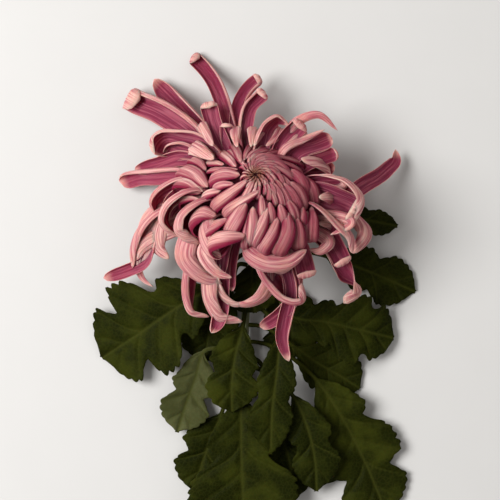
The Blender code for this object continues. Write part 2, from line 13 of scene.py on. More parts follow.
import bpy
import numpy as np
from bpy.props import FloatProperty, FloatVectorProperty, PointerProperty
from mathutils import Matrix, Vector

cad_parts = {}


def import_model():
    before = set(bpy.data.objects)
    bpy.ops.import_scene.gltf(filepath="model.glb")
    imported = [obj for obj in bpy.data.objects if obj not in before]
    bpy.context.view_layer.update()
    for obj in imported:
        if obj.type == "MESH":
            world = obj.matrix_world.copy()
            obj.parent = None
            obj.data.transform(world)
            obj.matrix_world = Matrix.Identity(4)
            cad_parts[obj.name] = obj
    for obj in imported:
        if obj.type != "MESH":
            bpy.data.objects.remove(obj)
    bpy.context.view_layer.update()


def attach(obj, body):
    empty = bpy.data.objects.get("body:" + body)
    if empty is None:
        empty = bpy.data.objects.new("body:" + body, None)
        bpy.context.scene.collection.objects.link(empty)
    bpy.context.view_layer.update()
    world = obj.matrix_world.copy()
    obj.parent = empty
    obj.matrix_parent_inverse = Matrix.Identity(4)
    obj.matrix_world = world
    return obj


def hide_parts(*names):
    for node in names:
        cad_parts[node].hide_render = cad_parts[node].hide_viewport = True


bl_info = {
    "name": "Spider chrysanthemum",
    "version": (1, 0, 0),
    "blender": (4, 5, 0),
    "location": "View3D > Sidebar > Chrysanthemum",
    "description": "Builds a cut spider chrysanthemum from petal, leaf and stem surfaces",
    "category": "Add Mesh",
}

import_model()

MM = 0.001
FOOTPRINT_CENTRE = np.array([-0.5, -83.55, 0.0])

# The head: a low dome of incurved florets on a tilted face plane.
FACE_TILT = math.radians(33)
FACE_CENTRE = np.array([0.0, -11.0, 47.0])
FACE_RIGHT = np.array([1.0, 0.0, 0.0])
FACE_UP = np.array([0.0, math.cos(FACE_TILT), -math.sin(FACE_TILT)])
FACE_AXIS = np.array([0.0, math.sin(FACE_TILT), math.cos(FACE_TILT)])
DOME_RADIUS = 33.0
DOME_HEIGHT = 20.0
ROOT_RADIUS = 13.0
ROOT_DEPTH = 4.0
CORE_PROFILE = (
    (0, 13.6), (6, 13.2), (12, 11.4), (18, 8.0), (23, 2.5), (24.5, 0.5), (22, -5), (9, -8.8), (0, -8.8)
)
CROWN = np.array([-0.8, -0.4])
# Painted shade: the florets' outer faces darken with distance from this sketch point on the lit flank, so
# the side of the head away from the light is painted darker.
LIT_FLANK = np.array([-28.0, -16.0])

UP = np.array([0.0, 0.0, 1.0])

# The photo that the outer petals' points were read from: the pixel of its middle,
# its pixels to a millimetre at the head's height, the camera's height, and the sketch
# point under its middle.
PHOTO_MIDDLE = 250
PIXELS_PER_MM = 2
HEAD_HEIGHT = 50
CAMERA_HEIGHT = 1091.7
PHOTO_CENTRE = np.array([-3.5, -37.5, 0.0])

# An outer petal: its width, its rolls, how far its edges turn in at the middle and at the
# tip, how far its tip hooks towards its inner face, how much more its right edge turns in
# than its left, the share of its length at which it starts to taper, and its points, each
# as the x and y where it shows in the photo and its height in millimetres. A roll is the
# angle of the inner face: 0 faces up, 90 faces to the right of its run, 180 faces down.
Petal = namedtuple("Petal", "width rolls turns hook skew taper points")


def sketch(x, y, height):
    """The point at the height that shows at x, y in the photo, to a tenth of a millimetre.

    The pixels to a millimetre grow as the distance to the camera shrinks.
    """
    scale = PIXELS_PER_MM * (CAMERA_HEIGHT - HEAD_HEIGHT) / (CAMERA_HEIGHT - height)
    right = round((x - PHOTO_MIDDLE) / scale + PHOTO_CENTRE[0], 1)
    return right, round((PHOTO_MIDDLE - y) / scale + PHOTO_CENTRE[1], 1), height


def ray(width, rolls, turns, hook, skew, taper, *places):
    """The record of a petal that runs out from the head, its places made sketch points."""
    return Petal(width, rolls, turns, hook, skew, taper, [sketch(*place) for place in places])


def incurved(width, *places):
    """The record of a petal that stands at the rim and closes in over the dome."""
    return ray(width, (0, 0), (1.2, 1.3), 0, 0, 0.58, *places)


TOP_PETALS = (
    ray(9.8, (0, 4), (2.2, 1.7), 195, 0.4, 0.91,
        (230, 122, 28), (223, 99, 19), (213, 79, 9), (200, 64, 2.4), (190, 56, 1.8)),
    ray(8.6, (-10, 0), (2, 1.8), 165, 0.3, 0.9,
        (239, 121, 28), (243, 101, 20), (253, 87, 15), (264, 79, 15)),
    ray(9.6, (0, 0), (2.2, 1.8), 185, -0.5, 0.92,
        (244, 125, 33), (249, 108, 28), (259, 98, 25), (267, 91, 25)),
    ray(12.5, (5, 0), (1.7, 1.4), 50, 0.7, 0.8,
        (201, 127, 26), (179, 104, 15), (162, 87.5, 3.5), (155, 82, 2.4)),
    ray(17, (-10, -10, -15), (1.85, 1.7), 205, 0.85, 0.92,
        (195, 131, 31), (164, 109.5, 19), (137, 97.5, 5), (127, 92, 4.5)),
    ray(8.6, (0, 0), (1.3, 1.5), 190, 0, 0.92, (216, 130, 36), (211, 113, 31), (208, 100, 31)),
    ray(6.4, (0, 0), (1, 1.2), 160, 0, 0.9, (227, 139, 37), (226.5, 122, 38)),
    incurved(6.5, (235, 131, 26), (235, 127, 35), (235, 135, 44), (237, 147, 49)),
    incurved(5.2, (252, 130, 27), (252, 127, 36), (251.5, 135, 45), (251, 147, 50)),
    incurved(5.2, (262, 131, 27), (263, 128, 36), (259, 135, 45), (254, 146, 50)),
    incurved(7, (203, 128, 26), (200, 124, 34), (206, 134, 42), (213, 146, 47)),
    incurved(10, (196, 149, 29), (192, 145, 38), (201, 150, 45), (214, 159, 49)),
    incurved(5.6, (278, 132, 28), (281, 128, 36), (276, 137, 44), (266, 146, 49)),
    incurved(6, (300, 134, 28), (305, 131, 35), (297, 139, 43), (283, 148, 48)),
)

LEFT_PETALS = (
    ray(18, (0, -10, -40, -75), (1.5, 1.4), 110, 0.6, 0.84,
        (199, 145, 37), (181, 140, 32), (166, 137, 27), (157, 144, 23)),
    ray(7, (-60, -100), (1.2, 1.1), 10, 0.2, 0.6, (178, 143, 33), (169, 145, 30), (163, 153, 26)),
    ray(9.5, (-20, -12), (1.5, 1.5), 20, 0.4, 0.75, (186, 157, 35), (158, 164, 23), (137, 170, 12)),
    ray(12, (-15, -20, -28), (2.15, 1.5), 40, 0.8, 0.9,
        (188, 173, 37), (156, 173.5, 26), (133, 176, 8), (123, 179, 3.6)),
    ray(7, (0, 0), (1.2, 1.2), 10, 0, 0.7, (195, 167, 38), (178, 168, 31), (166, 168, 25)),
    ray(14.5, (-5, -32, -58, -105), (1.6, 1.1), 20, 0.45, 0.62,
        (176, 184, 41), (161, 191, 38), (153, 201, 34), (153, 215, 31)),
    ray(17, (-20, -50, -80, -120), (1.6, 1.2), 20, 0.4, 0.62,
        (184, 195, 50), (168, 205, 47), (162, 220, 43), (167, 232, 41), (176, 240, 40)),
    ray(21, (-24, -62, -90, -122), (1.6, 1.3), 20, 0.35, 0.62,
        (197, 206, 53), (182, 214, 51), (176, 230, 49), (183, 242, 49), (196, 249, 49)),
    ray(11, (-60, -90, -140), (1.7, 1.3), 10, 0, 0.6,
        (150, 216, 32), (137, 230, 29), (131, 247, 27), (131, 268, 26)),
    ray(14.5, (-110, -145, -165), (1.3, 1.3), 10, 0, 0.55,
        (157, 222, 34), (154, 237, 33), (157, 250, 32), (168, 260, 32)),
    ray(16, (-165, -165), (0.9, 1.1), 0, 0, 0.7,
        (148, 226, 30), (143, 242, 27), (138, 257, 25), (134, 268, 24)),
    ray(7, (75, 60, 5, 0), (1.5, 1.3), 20, 0.2, 0.85,
        (154, 245, 29), (146, 261, 27), (128, 270, 24), (104, 278, 21)),
    ray(8.5, (180, 180), (1.2, 1.3), 10, 0, 0.45, (136, 265, 25), (142, 279, 22), (153, 288, 21)),
    ray(9, (-20, -30), (1.4, 1.4), 10, 0.2, 0.6, (196, 210, 44), (186, 224, 40), (184, 240, 37)),
    ray(8, (-10, -20), (1.4, 1.4), 10, 0.2, 0.6, (190, 190, 44), (174, 197, 40), (163, 208, 36)),
    ray(7, (-40, -80), (1.5, 1.5), 10, 0, 0.5, (190, 200, 47), (175, 207, 44), (168, 220, 41)),
)

LOWER_PETALS = (
    ray(14.5, (-130, -160), (1.3, 1.3), 10, 0.1, 0.5,
        (184, 240, 46), (181.5, 257, 45), (193, 273, 43), (208, 282, 41), (222, 285, 40)),
    ray(15, (-50, -85, -125), (1.7, 1.4), 20, 0.1, 0.5,
        (201, 226, 59), (203, 241, 60), (209, 252, 60), (220, 261, 59)),
    ray(8.5, (-125, -155), (1.6, 1.4), 10, 0.1, 0.5,
        (202, 254, 54), (208, 265, 54), (218, 274, 53.5), (232, 278, 53)),
    ray(14, (-45, -68, -85, -125), (1.8, 1.4), 20, 0.3, 0.62,
        (187, 268, 31), (184, 296, 27), (189, 313, 25), (208, 321, 25)),
    ray(20, (-115, -115, -140), (1.3, 1.3), 10, 0.1, 0.5,
        (203, 280, 33), (205, 301, 30), (216, 319, 29), (242, 324.5, 29)),
    ray(12, (-80, -130), (1.5, 1.4), 10, 0.1, 0.55,
        (214, 284, 34), (221, 298, 32), (233, 306, 31), (251, 305, 31)),
    ray(9, (0, 10), (1.7, 1.8), 70, 0.3, 0.8,
        (224, 257, 43), (222, 285, 33), (221, 311, 29), (214, 333, 27)),
    ray(6, (20, 20), (1.6, 1.6), 30, 0.2, 0.7, (236, 246, 45), (232, 268, 39), (233, 290, 32)),
    ray(8, (0, -10), (1.4, 1.4), 20, 0.2, 0.6, (214, 236, 50), (210, 252, 46), (214, 268, 42)),
    ray(8, (0, 10), (1.4, 1.4), 20, 0.2, 0.7, (226, 240, 50), (222, 256, 46), (221, 276, 41)),
    ray(11, (-125, -150), (1.2, 1.3), 10, 0, 0.5,
        (248, 252, 61), (266, 263, 62), (289, 262, 61), (307, 249.5, 60)),
    ray(7, (170, 170), (1.3, 1.4), 10, 0, 0.5, (327, 246, 52), (320, 251, 52), (309, 249, 52)),
    ray(14.5, (-40, -60, -70, -115), (1.9, 1.6), 60, 0.3, 0.76,
        (258, 262, 54), (267, 281, 48), (283, 298, 44), (302, 302, 43), (312, 289, 43)),
    ray(11.5, (130, 150), (1.3, 1.4), 10, 0, 0.6,
        (272, 287, 42), (264, 299, 38), (249, 306, 33), (234, 307, 31)),
    ray(10, (0, 0), (1.1, 0.6), 195, 0, 0.96, (298, 246, 51), (303, 262, 47), (307, 279, 45)),
    ray(8.2, (0, 5), (1.9, 1.6), 10, -0.3, 0.7,
        (291, 296, 42), (286, 318, 38), (283, 338, 35), (289, 361, 33)),
    ray(7.5, (0, 0), (1.2, 1.2), 0, 0, 0.85, (289, 303, 40), (278, 315, 37), (260, 327, 35)),
    ray(5.5, (180, 180), (1.2, 1.2), 0, 0, 0.8, (298, 262, 44), (298, 280, 42), (297, 300, 40)),
    ray(6.5, (150, 150), (1.4, 1.6), 20, 0, 0.6, (290, 266, 52), (283, 272, 50), (274, 274, 49)),
)

RIGHT_PETALS = (
    ray(10, (0, 0), (1.2, 0.6), 195, 0, 0.96, (322, 226, 48), (332, 243, 44), (344, 266, 41)),
    ray(10.5, (0, 0, 10, 120, 185), (1.5, 1.4), 10, 0.3, 0.8,
        (332, 250, 39), (342, 267, 36), (354, 281, 33), (360, 291, 31), (344, 304, 30)),
    ray(12, (35, 80, 115), (1.3, 1.4), 20, -0.2, 0.6,
        (314, 206, 55), (336, 220, 55), (352, 235, 53), (356, 253, 51)),
    ray(6.5, (180, 180), (1.3, 1.4), 10, 0, 0.45, (347, 226, 57), (340, 230, 57), (330, 234, 57)),
    ray(17, (5, 12, 20), (1, 1.2), 185, 0, 0.9, (312, 195, 50), (336, 202, 49), (358, 212, 45)),
    ray(19, (0, 35, 60, 85), (1.3, 1.3), 20, -0.35, 0.62,
        (322, 184, 49), (347, 185, 51), (364, 200, 53), (361, 222, 54)),
    ray(5, (170, 170), (1.3, 1.4), 10, 0, 0.45, (341, 181, 53), (331, 176, 55), (312, 176, 56)),
    ray(13, (40, 75, 105, 125), (1.6, 1.4), 20, -0.2, 0.62,
        (336, 206, 38), (356, 214, 42), (368, 231, 46), (355, 255, 46)),
    ray(9.5, (0, -15), (1.25, 1.5), 60, 0.45, 0.74,
        (342, 200, 34), (362, 187, 26), (386, 171, 12), (395, 160, 7), (391, 154, 5.5)),
    ray(10.5, (15, 45, 80), (1.6, 1.2), 20, -0.2, 0.7,
        (260, 141, 44), (266, 125, 42), (278, 117, 41), (290, 122, 42)),
    ray(10, (0, 5), (1.6, 1.3), 190, -0.2, 0.9, (285, 140, 43), (296, 128, 41), (303, 120, 41)),
    ray(5.6, (165, 185), (1.2, 1.3), 10, 0, 0.45,
        (282, 144, 40), (298, 121, 43), (318, 115, 44), (338, 131, 40)),
    ray(5, (130, 130), (1.3, 1.4), 10, 0, 0.5, (286, 146, 49), (302, 139, 46), (325, 129, 42)),
    ray(10.5, (0, 0), (1.3, 1.4), 20, 0.2, 0.8, (300, 150, 44), (316, 145, 40), (331, 139, 36)),
    ray(11.5, (0, 0), (1.2, 1.2), 0, 0, 0.6,
        (324, 169, 27), (327, 165, 36), (317, 160, 46), (301, 159, 51)),
    incurved(8, (331, 200, 34), (335, 199, 44), (329, 197, 53), (319, 197, 57)),
    incurved(6.5, (330, 228, 32), (336, 227, 41), (328, 224, 50), (318, 223, 54)),
    ray(10, (0, 10), (1.2, 1.3), 20, 0, 0.7, (298, 172, 42), (317, 170, 38), (334, 167, 35)),
    ray(8, (0, 0), (1.4, 1.4), 160, 0.2, 0.8, (312, 162, 43), (325, 158, 40), (336, 154, 37)),
)

PETAL_GROUPS = (
    ("petals_top", TOP_PETALS),
    ("petals_left", LEFT_PETALS),
    ("petals_lower", LOWER_PETALS),
    ("petals_right", RIGHT_PETALS),
)

# An incurved floret of the dome: width, the x and y of its heel and of its tip, and how
# far its middle bows to the side that lies counterclockwise of its run to the heel.
DOME_FLORETS = (
    (7.6, (-3, -34), (-2, -17), 0.6), (4.4, (-6.5, -35.5), (-4, -19.5), 0.4),
    (8.1, (-2.5, -34), (5, -17.5), 1.2), (8.8, (1.5, -37.5), (10, -22.5), 1.5),
    (9.5, (10, -39), (14.5, -19.5), 3), (8.3, (20.5, -35.5), (19, -22), 0.5),
    (7, (27.5, -32), (27, -16.5), 0.8), (5.2, (23.5, -32), (25, -18.5), -0.4),
    (7, (21.5, -26), (22.5, -16.5), 0), (7.4, (19.5, -24.5), (15, -13.5), 0.5),
    (6.6, (13, -26), (11, -15.5), 0.3), (5.7, (7.5, -24.5), (6, -14.5), 0.3),
    (5.2, (3, -21), (2, -11), 0), (7, (-16.5, -20), (1, -9), 0.5),
    (9.8, (-14.5, -29.5), (-5.5, -15), 0.8), (7.6, (-22.5, -17), (-5, -4), 0.8),
    (4.4, (-7.5, -14.5), (-1.5, -3.5), 0.3), (9.1, (-23.5, -2.5), (-8.5, -1.5), -0.5),
    (3.9, (-25, 1.5), (-9.5, 2), -0.3), (5.9, (-22, -7.5), (-11.5, -5.5), 0),
    (7.1, (-27.5, -11.5), (-18, -9), 0.3), (3.3, (-8, -1.5), (-4, -1.5), 0),
    (10.8, (-39, 2.5), (-24.5, -7.5), -1.2), (9.7, (-40.5, -3), (-27, -9.5), -0.6),
    (5.9, (-39.5, -9.5), (-28, -9.8), 0), (5.9, (-39, -13), (-28.5, -13), 0),
    (12.5, (-33, -22.5), (-20, -22), -0.8), (8.2, (-27, -29), (-14.5, -23), 0.8),
    (12.5, (-24, -33.5), (-5.5, -31.5), 1.2), (8.3, (-31, 13), (-21, 8.5), -0.8),
    (3.9, (-26.5, 17), (-27, 11.5), 0), (6.6, (-34, 8.5), (-25.5, 1.5), -0.8),
    (5.9, (-13, 16.5), (-8, 5.5), -0.6), (6.6, (-20.5, 11.5), (-10.5, 3), -0.8),
    (4.4, (-14, 12.5), (-6, 3.5), -0.5), (5.2, (-27, 5.5), (-16.5, 4.5), -0.3),
    (3.0, (14.5, 13), (6, 12), 0.8), (3.6, (23, 8.5), (4.5, 10.5), 1.8),
    (3.4, (24, 4.5), (3.5, 8), 2.4), (3.0, (23, 0.5), (4, 5.5), 2.8),
    (2.9, (21, -4.5), (5, 3), 2.6), (2.7, (18, -8.5), (5.5, 1), 2.2),
    (3.6, (6.5, 15), (0.5, 13), 0.3), (5.9, (21, -18.5), (13, -5), 0.9),
    (4.4, (17, -18), (10, -4.5), 0.8), (3.9, (13, -16), (7, -4), 0.8),
    (3.3, (9.5, -15), (4.5, -5.5), 0.6), (7.4, (24.5, -10.5), (17, 2), 1),
    (8.3, (29, -14.5), (23, -1.5), 1), (7.4, (24, -16.5), (16.5, -4.5), 1),
)

# The rings of small florets in the very middle: count, radii of the tips and of the
# heels, width, and the degrees between which they stand.
INNER_RINGS = (
    (10, 0.8, 3.6, 1.7, 0, 360),
    (16, 2.3, 6.0, 2.1, 0, 360),
    (18, 4.2, 9.0, 2.5, -150, 150),
    (16, 6.5, 12.5, 2.9, -120, 110),
    (12, 9.5, 17.0, 3.4, -75, 100),
)

# How the inner florets are shaken: their places within their share of a ring, their radii,
# how far they bow for each millimetre and radian, and the angle where they swirl most.
PLACE_SHAKE = (0.25, 0.75)
RADIUS_SHAKE = (0.88, 1.12)
INNER_BOW = 0.17
SWIRL_SIDE = 0.5

# A leaf: where its stalk leaves the stem, as a share of the stem's length, the width of
# its blade, its lobes to a side, how far the clefts cut in, whether its paler underside
# shows, and the points of its midrib from the blade's base to its tip.
Leaf = namedtuple("Leaf", "stem_share width lobes cleft turned points")

LEAVES = (
    Leaf(0.12, 54, 3, 0.55, 0, ((-23, -56, 17), (-41, -67, 15), (-60.5, -80.5, 9), (-81, -94, 0.8))),
    Leaf(0.36, 27, 2, 0.50, 1, ((-27, -90, 7), (-32, -104, 8), (-37, -118, 8), (-41.5, -132.5, 6.5))),
    Leaf(0.44, 30, 2, 0.50, 0, ((-18, -122, 4.5), (-24, -136, 3.5), (-29, -150, 2.2), (-33, -164, 0.9))),
    Leaf(0.27, 29, 2, 0.40, 0, ((-7, -76, 18), (-11, -91, 20), (-13, -106, 20), (-13, -121, 17))),
    Leaf(0.25, 23, 2, 0.40, 0, ((11, -80, 20), (10.5, -97, 24), (8, -117, 22), (7, -143, 16))),
    Leaf(0.18, 36, 3, 0.40, 0, ((20, -72.5, 15), (35, -74.5, 15), (53.5, -79, 11), (71.5, -83.5, 4))),
    Leaf(0.10, 28, 2, 0.45, 0, ((35, -40.5, 11), (48.5, -45, 8), (65.5, -51.5, 4), (83, -59.5, 0.8))),
    Leaf(0.05, 14, 2, 0.30, 0, ((40, -19.5, 17), (51, -21, 13), (63, -23, 9), (73.5, -25, 5))),
    Leaf(0.30, 30, 2, 0.45, 0, ((20, -88, 7), (31, -96, 5), (43, -103, 3), (54, -110, 1.5))),
    Leaf(0.34, 44, 3, 0.50, 0, ((30, -104, 9), (42, -121, 8), (55, -145, 4), (68, -176, 0.8))),
    Leaf(0.40, 26, 2, 0.45, 0, ((18, -112, 14), (26, -129, 15), (30, -146, 12), (31, -163, 8))),
    Leaf(0.42, 56, 3, 0.55, 0, ((-8, -112, 13), (-8, -140, 14), (-7, -170, 11), (-6, -200, 6))),
    Leaf(0.07, 26, 2, 0.40, 0, ((-2, -44, 19), (-2.5, -53, 18), (-2, -61.5, 16.5), (-1, -70, 15))),
    Leaf(0.14, 32, 2, 0.45, 0, ((9, -54, 6), (14, -64, 3), (18, -78, 2), (19, -94, 1.2))),
    Leaf(0.38, 30, 2, 0.45, 0, ((6, -112, 5), (12, -130, 4), (17, -148, 2.5), (20, -168, 1))),
    Leaf(0.16, 34, 2, 0.45, 0, ((-13, -56, 5), (-20, -68, 3.0), (-25, -82, 2.2), (-27, -96, 1.2))),
)

# The stem's line under the head, its skin, and the ribs that are cut into that skin.
STEM_RADIUS = 2.3
STEM_SKIN_RADIUS = 2.18
STEM_TOP_DEPTH = 18.8
STEM_PATH = ((0, -27, 22.5), (-2, -40, 11), (-5, -62, 6.5), (-7, -100, 5), (-8, -150, 3.6), (-6, -231, 2.2))
STEM_RIBS = 9
STEM_RELIEF = 0.05

# The cup's radii and heights, and the rings of bracts up it: the shares of its profile
# where they start and end, how many there are, and how far they lift off it.
CUP_PROFILE = ((0, -9.3), (7.5, -9.3), (9.5, -10.5), (8.6, -13.5), (5.2, -17), (3.2, -18.5), (0, -18.5))
BRACT_RINGS = ((0.0, 0.55, 11, 0.30), (0.2, 0.8, 13, 0.2), (0.4, 1.0, 14, 0.1))
BRACT_LENGTH = 6.0
BRACT_THICKNESS = 0.35
BRACT_LEAN = 0.25
BRACT_PUFF = 0.25
BRACT_SINK = 0.1
BRACT_OVERLAP = 1.25
BRACT_TAPER = (0.45, 1.6)
BRACT_SHAKE = 0.06

# Rows along and columns across or round each kind of surface.
PETAL_GRID = (56, 31)
FLORET_GRID = (32, 21)
INNER_GRID = (24, 11)
CORE_GRID = (40, 72)
CUP_GRID = (30, 64)
BRACT_GRID = (14, 9)
STEM_GRID = (150, 48)
LEAF_GRID = (84, 41)
STALK_ROWS = 14
STEM_SAMPLES = 200

# The radius of the rings that close a round piece, and the share of a width that closes a tip.
CLOSED = 0.02
CLOSED_SHARE = 0.0025

# How an outer petal grows from its root: its width there, the share of its length over
# which it widens, the turn of its edges, and the shares where its turns and rolls stand.
PETAL_ROOT_WIDTH = 0.3
WIDENING_SHARE = 0.55
PETAL_ROOT_TURN = 2.4
PETAL_TURN_SHARES = (0, 0.3, 0.75, 1)
ROLL_START = 0.25

# The same of a dome floret, with how far its root stands in and under its heel, how high
# its middle and tip stand over its width, and where and how bluntly it tapers.
FLORET_ROOT_WIDTH = 0.4
FLORET_TURN_SHARES = (0, 0.4, 0.8, 1)
FLORET_TURNS = (2.0, 1.25, 1.3, 1.3)
HEEL_INSET = 1.5
HEEL_DEPTH = 5.0
MIDDLE_LIFT = 0.5
TIP_LIFT = 0.2
FLORET_TAPER = (0.58, 1.9)
FLORET_LEAN = 8
FLORET_SKEW = 0.15

# A petal's sheet: how much it thins to its rims, the half width below which it thins and
# how far, the width from which its ribs are at full depth, how sharp the creases between
# them are, and how far the ribs of two petals may differ in place.
RIM_THINNING = 0.65
THIN_HALF = 1.2
THINNEST = 0.15
FULL_RIB_WIDTH = 7
CREASE_POWER = 0.7
RIB_SHIFT = 0.25

# A leaf's stalk: how far it starts under the stem's skin, how far out it bends, its half
# width and its thickness.
STALK_SINK = 0.4
STALK_BEND = 3.3
STALK_HALF = 1.1
STALK_THICKNESS = 1.5

# A leaf's blade: how deep its clefts and teeth are, how far its side veins slant forwards
# and where they end past the middle of a lobe's half, as shares of the blade, the strength
# of every other one, the widths of the veins and of the midrib, how deep they sink, how
# wide and thick the midrib swells, how far from a vein the sheet has swelled, the share
# where the blade is full grown, how it leans and folds from its midrib, how much its two
# sides differ, and the height it is kept above the floor.
CLEFT_DEPTH = 0.8
TOOTH_DEPTH = 0.10
VEIN_SLANT = 0.15
VEIN_OFFSET = 0.02
MINOR_VEIN = 0.55
VEIN_WIDTH = 0.55
MIDRIB_WIDTH = 0.75
VEIN_SINK = 0.35
SWELLING_WIDTH = 0.8
SWELLING = 0.9
QUILT_REACH = 2.4
GROWN_SHARE = 0.12
LEAF_LEAN = 0.22
LEAF_FOLD = 0.10
SIDE_DIFFERENCE = 0.06
LEAF_CLEARANCE = 0.35
PHASES = 6.28

# Where a petal's tints and painted shade lie: bands across and along it, as shares, and bands
# of distance in metres from the lit flank and from the crown. The side band and the flank
# band are painted shade on the florets. The cut end's band is a share of the stem.
PAINTED_SIDE_SHADE_BAND = (0.28, 0.80)
RIM_BAND = (0.86, 0.98)
RIM_START_BAND = (0.25, 0.6)
INNER_ROOT_BAND = (0.08, 0.24)
TIP_BAND = (0.93, 0.99)
PAINTED_FLANK_SHADE_BAND = (0.026, 0.052)
CROWN_BAND = (0.001, 0.008)
CUT_BAND = (0.993, 0.996)
SEED_SPREAD = 37.0
HEART_BROWN = (0.10, 0.045, 0.012)
HEART_GREEN = (0.20, 0.16, 0.03)

# The seeds of the random draws of each kind of piece.
PETAL_SEED = 11
FLORET_SEED = 21
BRACT_SEED = 31
LEAF_SEED = 40

# The stage, in metres: where the lamps aim, and the floor.
LIGHT_AIM = Vector((-0.003, 0.046, 0.03))
FLOOR_HALF = 6.0
FLOOR_ROUGHNESS = 0.8
GRAIN_LIGHT = 1.03


def unit(vectors):
    """Each vector divided by its length."""
    return vectors / np.linalg.norm(vectors, axis=-1, keepdims=True)


def world(points):
    """Sketch millimetres to the row frame's metres."""
    return (points - FOOTPRINT_CENTRE) * MM


def distances(points):
    """How far along the chain of points each of them lies."""
    return np.concatenate([[0], np.cumsum(np.linalg.norm(np.diff(points, axis=0), axis=1))])


def curve(points, shares):
    """A smooth curve through the points: cubic pieces whose slopes are the mean chord's."""
    points = np.array(points, float)
    knots = distances(points)
    slopes = np.gradient(points, knots, axis=0)
    at = shares * knots[-1]
    left = np.clip(np.searchsorted(knots, at, side="right") - 1, 0, len(knots) - 2)
    gap = np.diff(knots)[left][:, None]
    u = (at[:, None] - knots[left][:, None]) / gap
    start = (1 + 2 * u) * (1 - u) ** 2 * points[left] + u * (1 - u) ** 2 * gap * slopes[left]
    end = u * u * (3 - 2 * u) * points[left + 1] + u * u * (u - 1) * gap * slopes[left + 1]
    return start + end


def tangents(path):
    """The unit direction of the path at each point, from its neighbours on both sides."""
    return unit(np.gradient(path, axis=0))


def carried(path, normal=UP):
    """The normal at the path's start, carried along it without twisting."""
    along = tangents(path)
    normals = np.empty_like(path)
    for i, direction in enumerate(along):
        normal = unit(normal - normal.dot(direction) * direction)
        normals[i] = normal
    return along, normals


def rolled(along, normals, degrees):
    """Normals turned about the path: cosine of the roll times N plus sine times T x N."""
    angle = np.radians(degrees)[:, None]
    return np.cos(angle) * normals + np.sin(angle) * np.cross(along, normals)


def on_dome(x, y):
    """The point of the dome, or of the face plane round it, that shows at x, y from above."""
    lift = DOME_HEIGHT * FACE_AXIS[1]
    square = lift / DOME_RADIUS**2
    rest = lift - square * x * x - (y - FACE_CENTRE[1])
    up = -2 * rest / (FACE_UP[1] + math.sqrt(max(FACE_UP[1] ** 2 + 4 * square * rest, 0.0)))
    height = DOME_HEIGHT * (1 - (x * x + up * up) / DOME_RADIUS**2)
    if height < 0:
        height = 0.0
        up = (y - FACE_CENTRE[1]) / FACE_UP[1]
    return FACE_CENTRE + x * FACE_RIGHT + up * FACE_UP + height * FACE_AXIS


def flattened(vector):
    """The part of the vector that lies in the face plane."""
    return vector - vector.dot(FACE_AXIS) * FACE_AXIS


def face_ring(angle):
    """Unit directions in the face plane at the angles round its axis."""
    return np.cos(angle)[..., None] * FACE_RIGHT + np.sin(angle)[..., None] * FACE_UP


def hooked(path, normals, start, degrees):
    """The end of the path bent towards its normal, evenly from the start share on.

    Past the start the direction is cos(a) T + sin(a) N, with a rising with the share, and
    the points are the running sum of the steps.
    """
    share = np.linspace(0, 1, len(path))
    bend = math.radians(degrees) * np.clip((share - start) / (1 - start), 0, 1)
    cos, sin = np.cos(bend)[:, None], np.sin(bend)[:, None]
    steps = np.diff(path, axis=0)
    length = np.linalg.norm(steps, axis=1)[:, None]
    bent_steps = cos[1:] * steps + sin[1:] * length * normals[1:]
    along = tangents(path)
    bent = np.vstack([path[:1], path[0] + np.cumsum(bent_steps, axis=0)])
    return bent, cos * normals - sin * along


def section(turn, skew, bias, columns):
    """A petal's cross section: its direction turns by turn * u^bias, more at the edge
    that the skew favours, and its points are the running sums of the direction's cosine
    and sine, scaled to a half width of one."""
    u = np.linspace(-1, 1, columns)
    angle = turn[:, None] * np.sign(u) * np.abs(u) ** bias * (1 + skew * np.sign(u))
    step = u[1] - u[0]
    middle = (angle[:, 1:] + angle[:, :-1]) / 2
    across = np.pad(np.cumsum(np.cos(middle), axis=1) * step, ((0, 0), (1, 0)))
    rise = np.pad(np.cumsum(np.sin(middle), axis=1) * step, ((0, 0), (1, 0)))
    across -= across[:, columns // 2, None]
    rise -= rise[:, columns // 2, None]
    half = np.abs(across).max(axis=1)[:, None]
    return across / half, rise / half, angle


def shell(sheet, normals, thickness):
    """Both faces of a sheet and the rim that closes them, as points and four-sided faces.

    The inner face lies half the thickness along the normals, the outer face half behind.
    """
    rows, columns = sheet.shape[:2]
    offset = normals * (thickness / 2)[..., None]
    points = np.concatenate([(sheet + offset).reshape(-1, 3), (sheet - offset).reshape(-1, 3)])
    under = rows * columns
    index = np.arange(under).reshape(rows, columns)
    a, b, c, d = index[:-1, :-1], index[:-1, 1:], index[1:, 1:], index[1:, :-1]
    inner = np.stack([a, b, c, d], axis=-1).reshape(-1, 4)
    rim = np.concatenate([index[0, :-1], index[:-1, -1], index[-1, :0:-1], index[:0:-1, 0]])
    after = np.roll(rim, -1)
    edge = np.stack([rim, rim + under, after + under, after], axis=-1)
    return points, np.concatenate([inner, inner[:, ::-1] + under, edge])


def ring_faces(rows, columns):
    """The four-sided faces between the rings of a grid whose rows close on themselves."""
    index = np.arange(rows * columns).reshape(rows, columns)
    after = np.roll(index, -1, axis=1)
    return np.stack([index[:-1], index[1:], after[1:], after[:-1]], axis=-1).reshape(-1, 4)


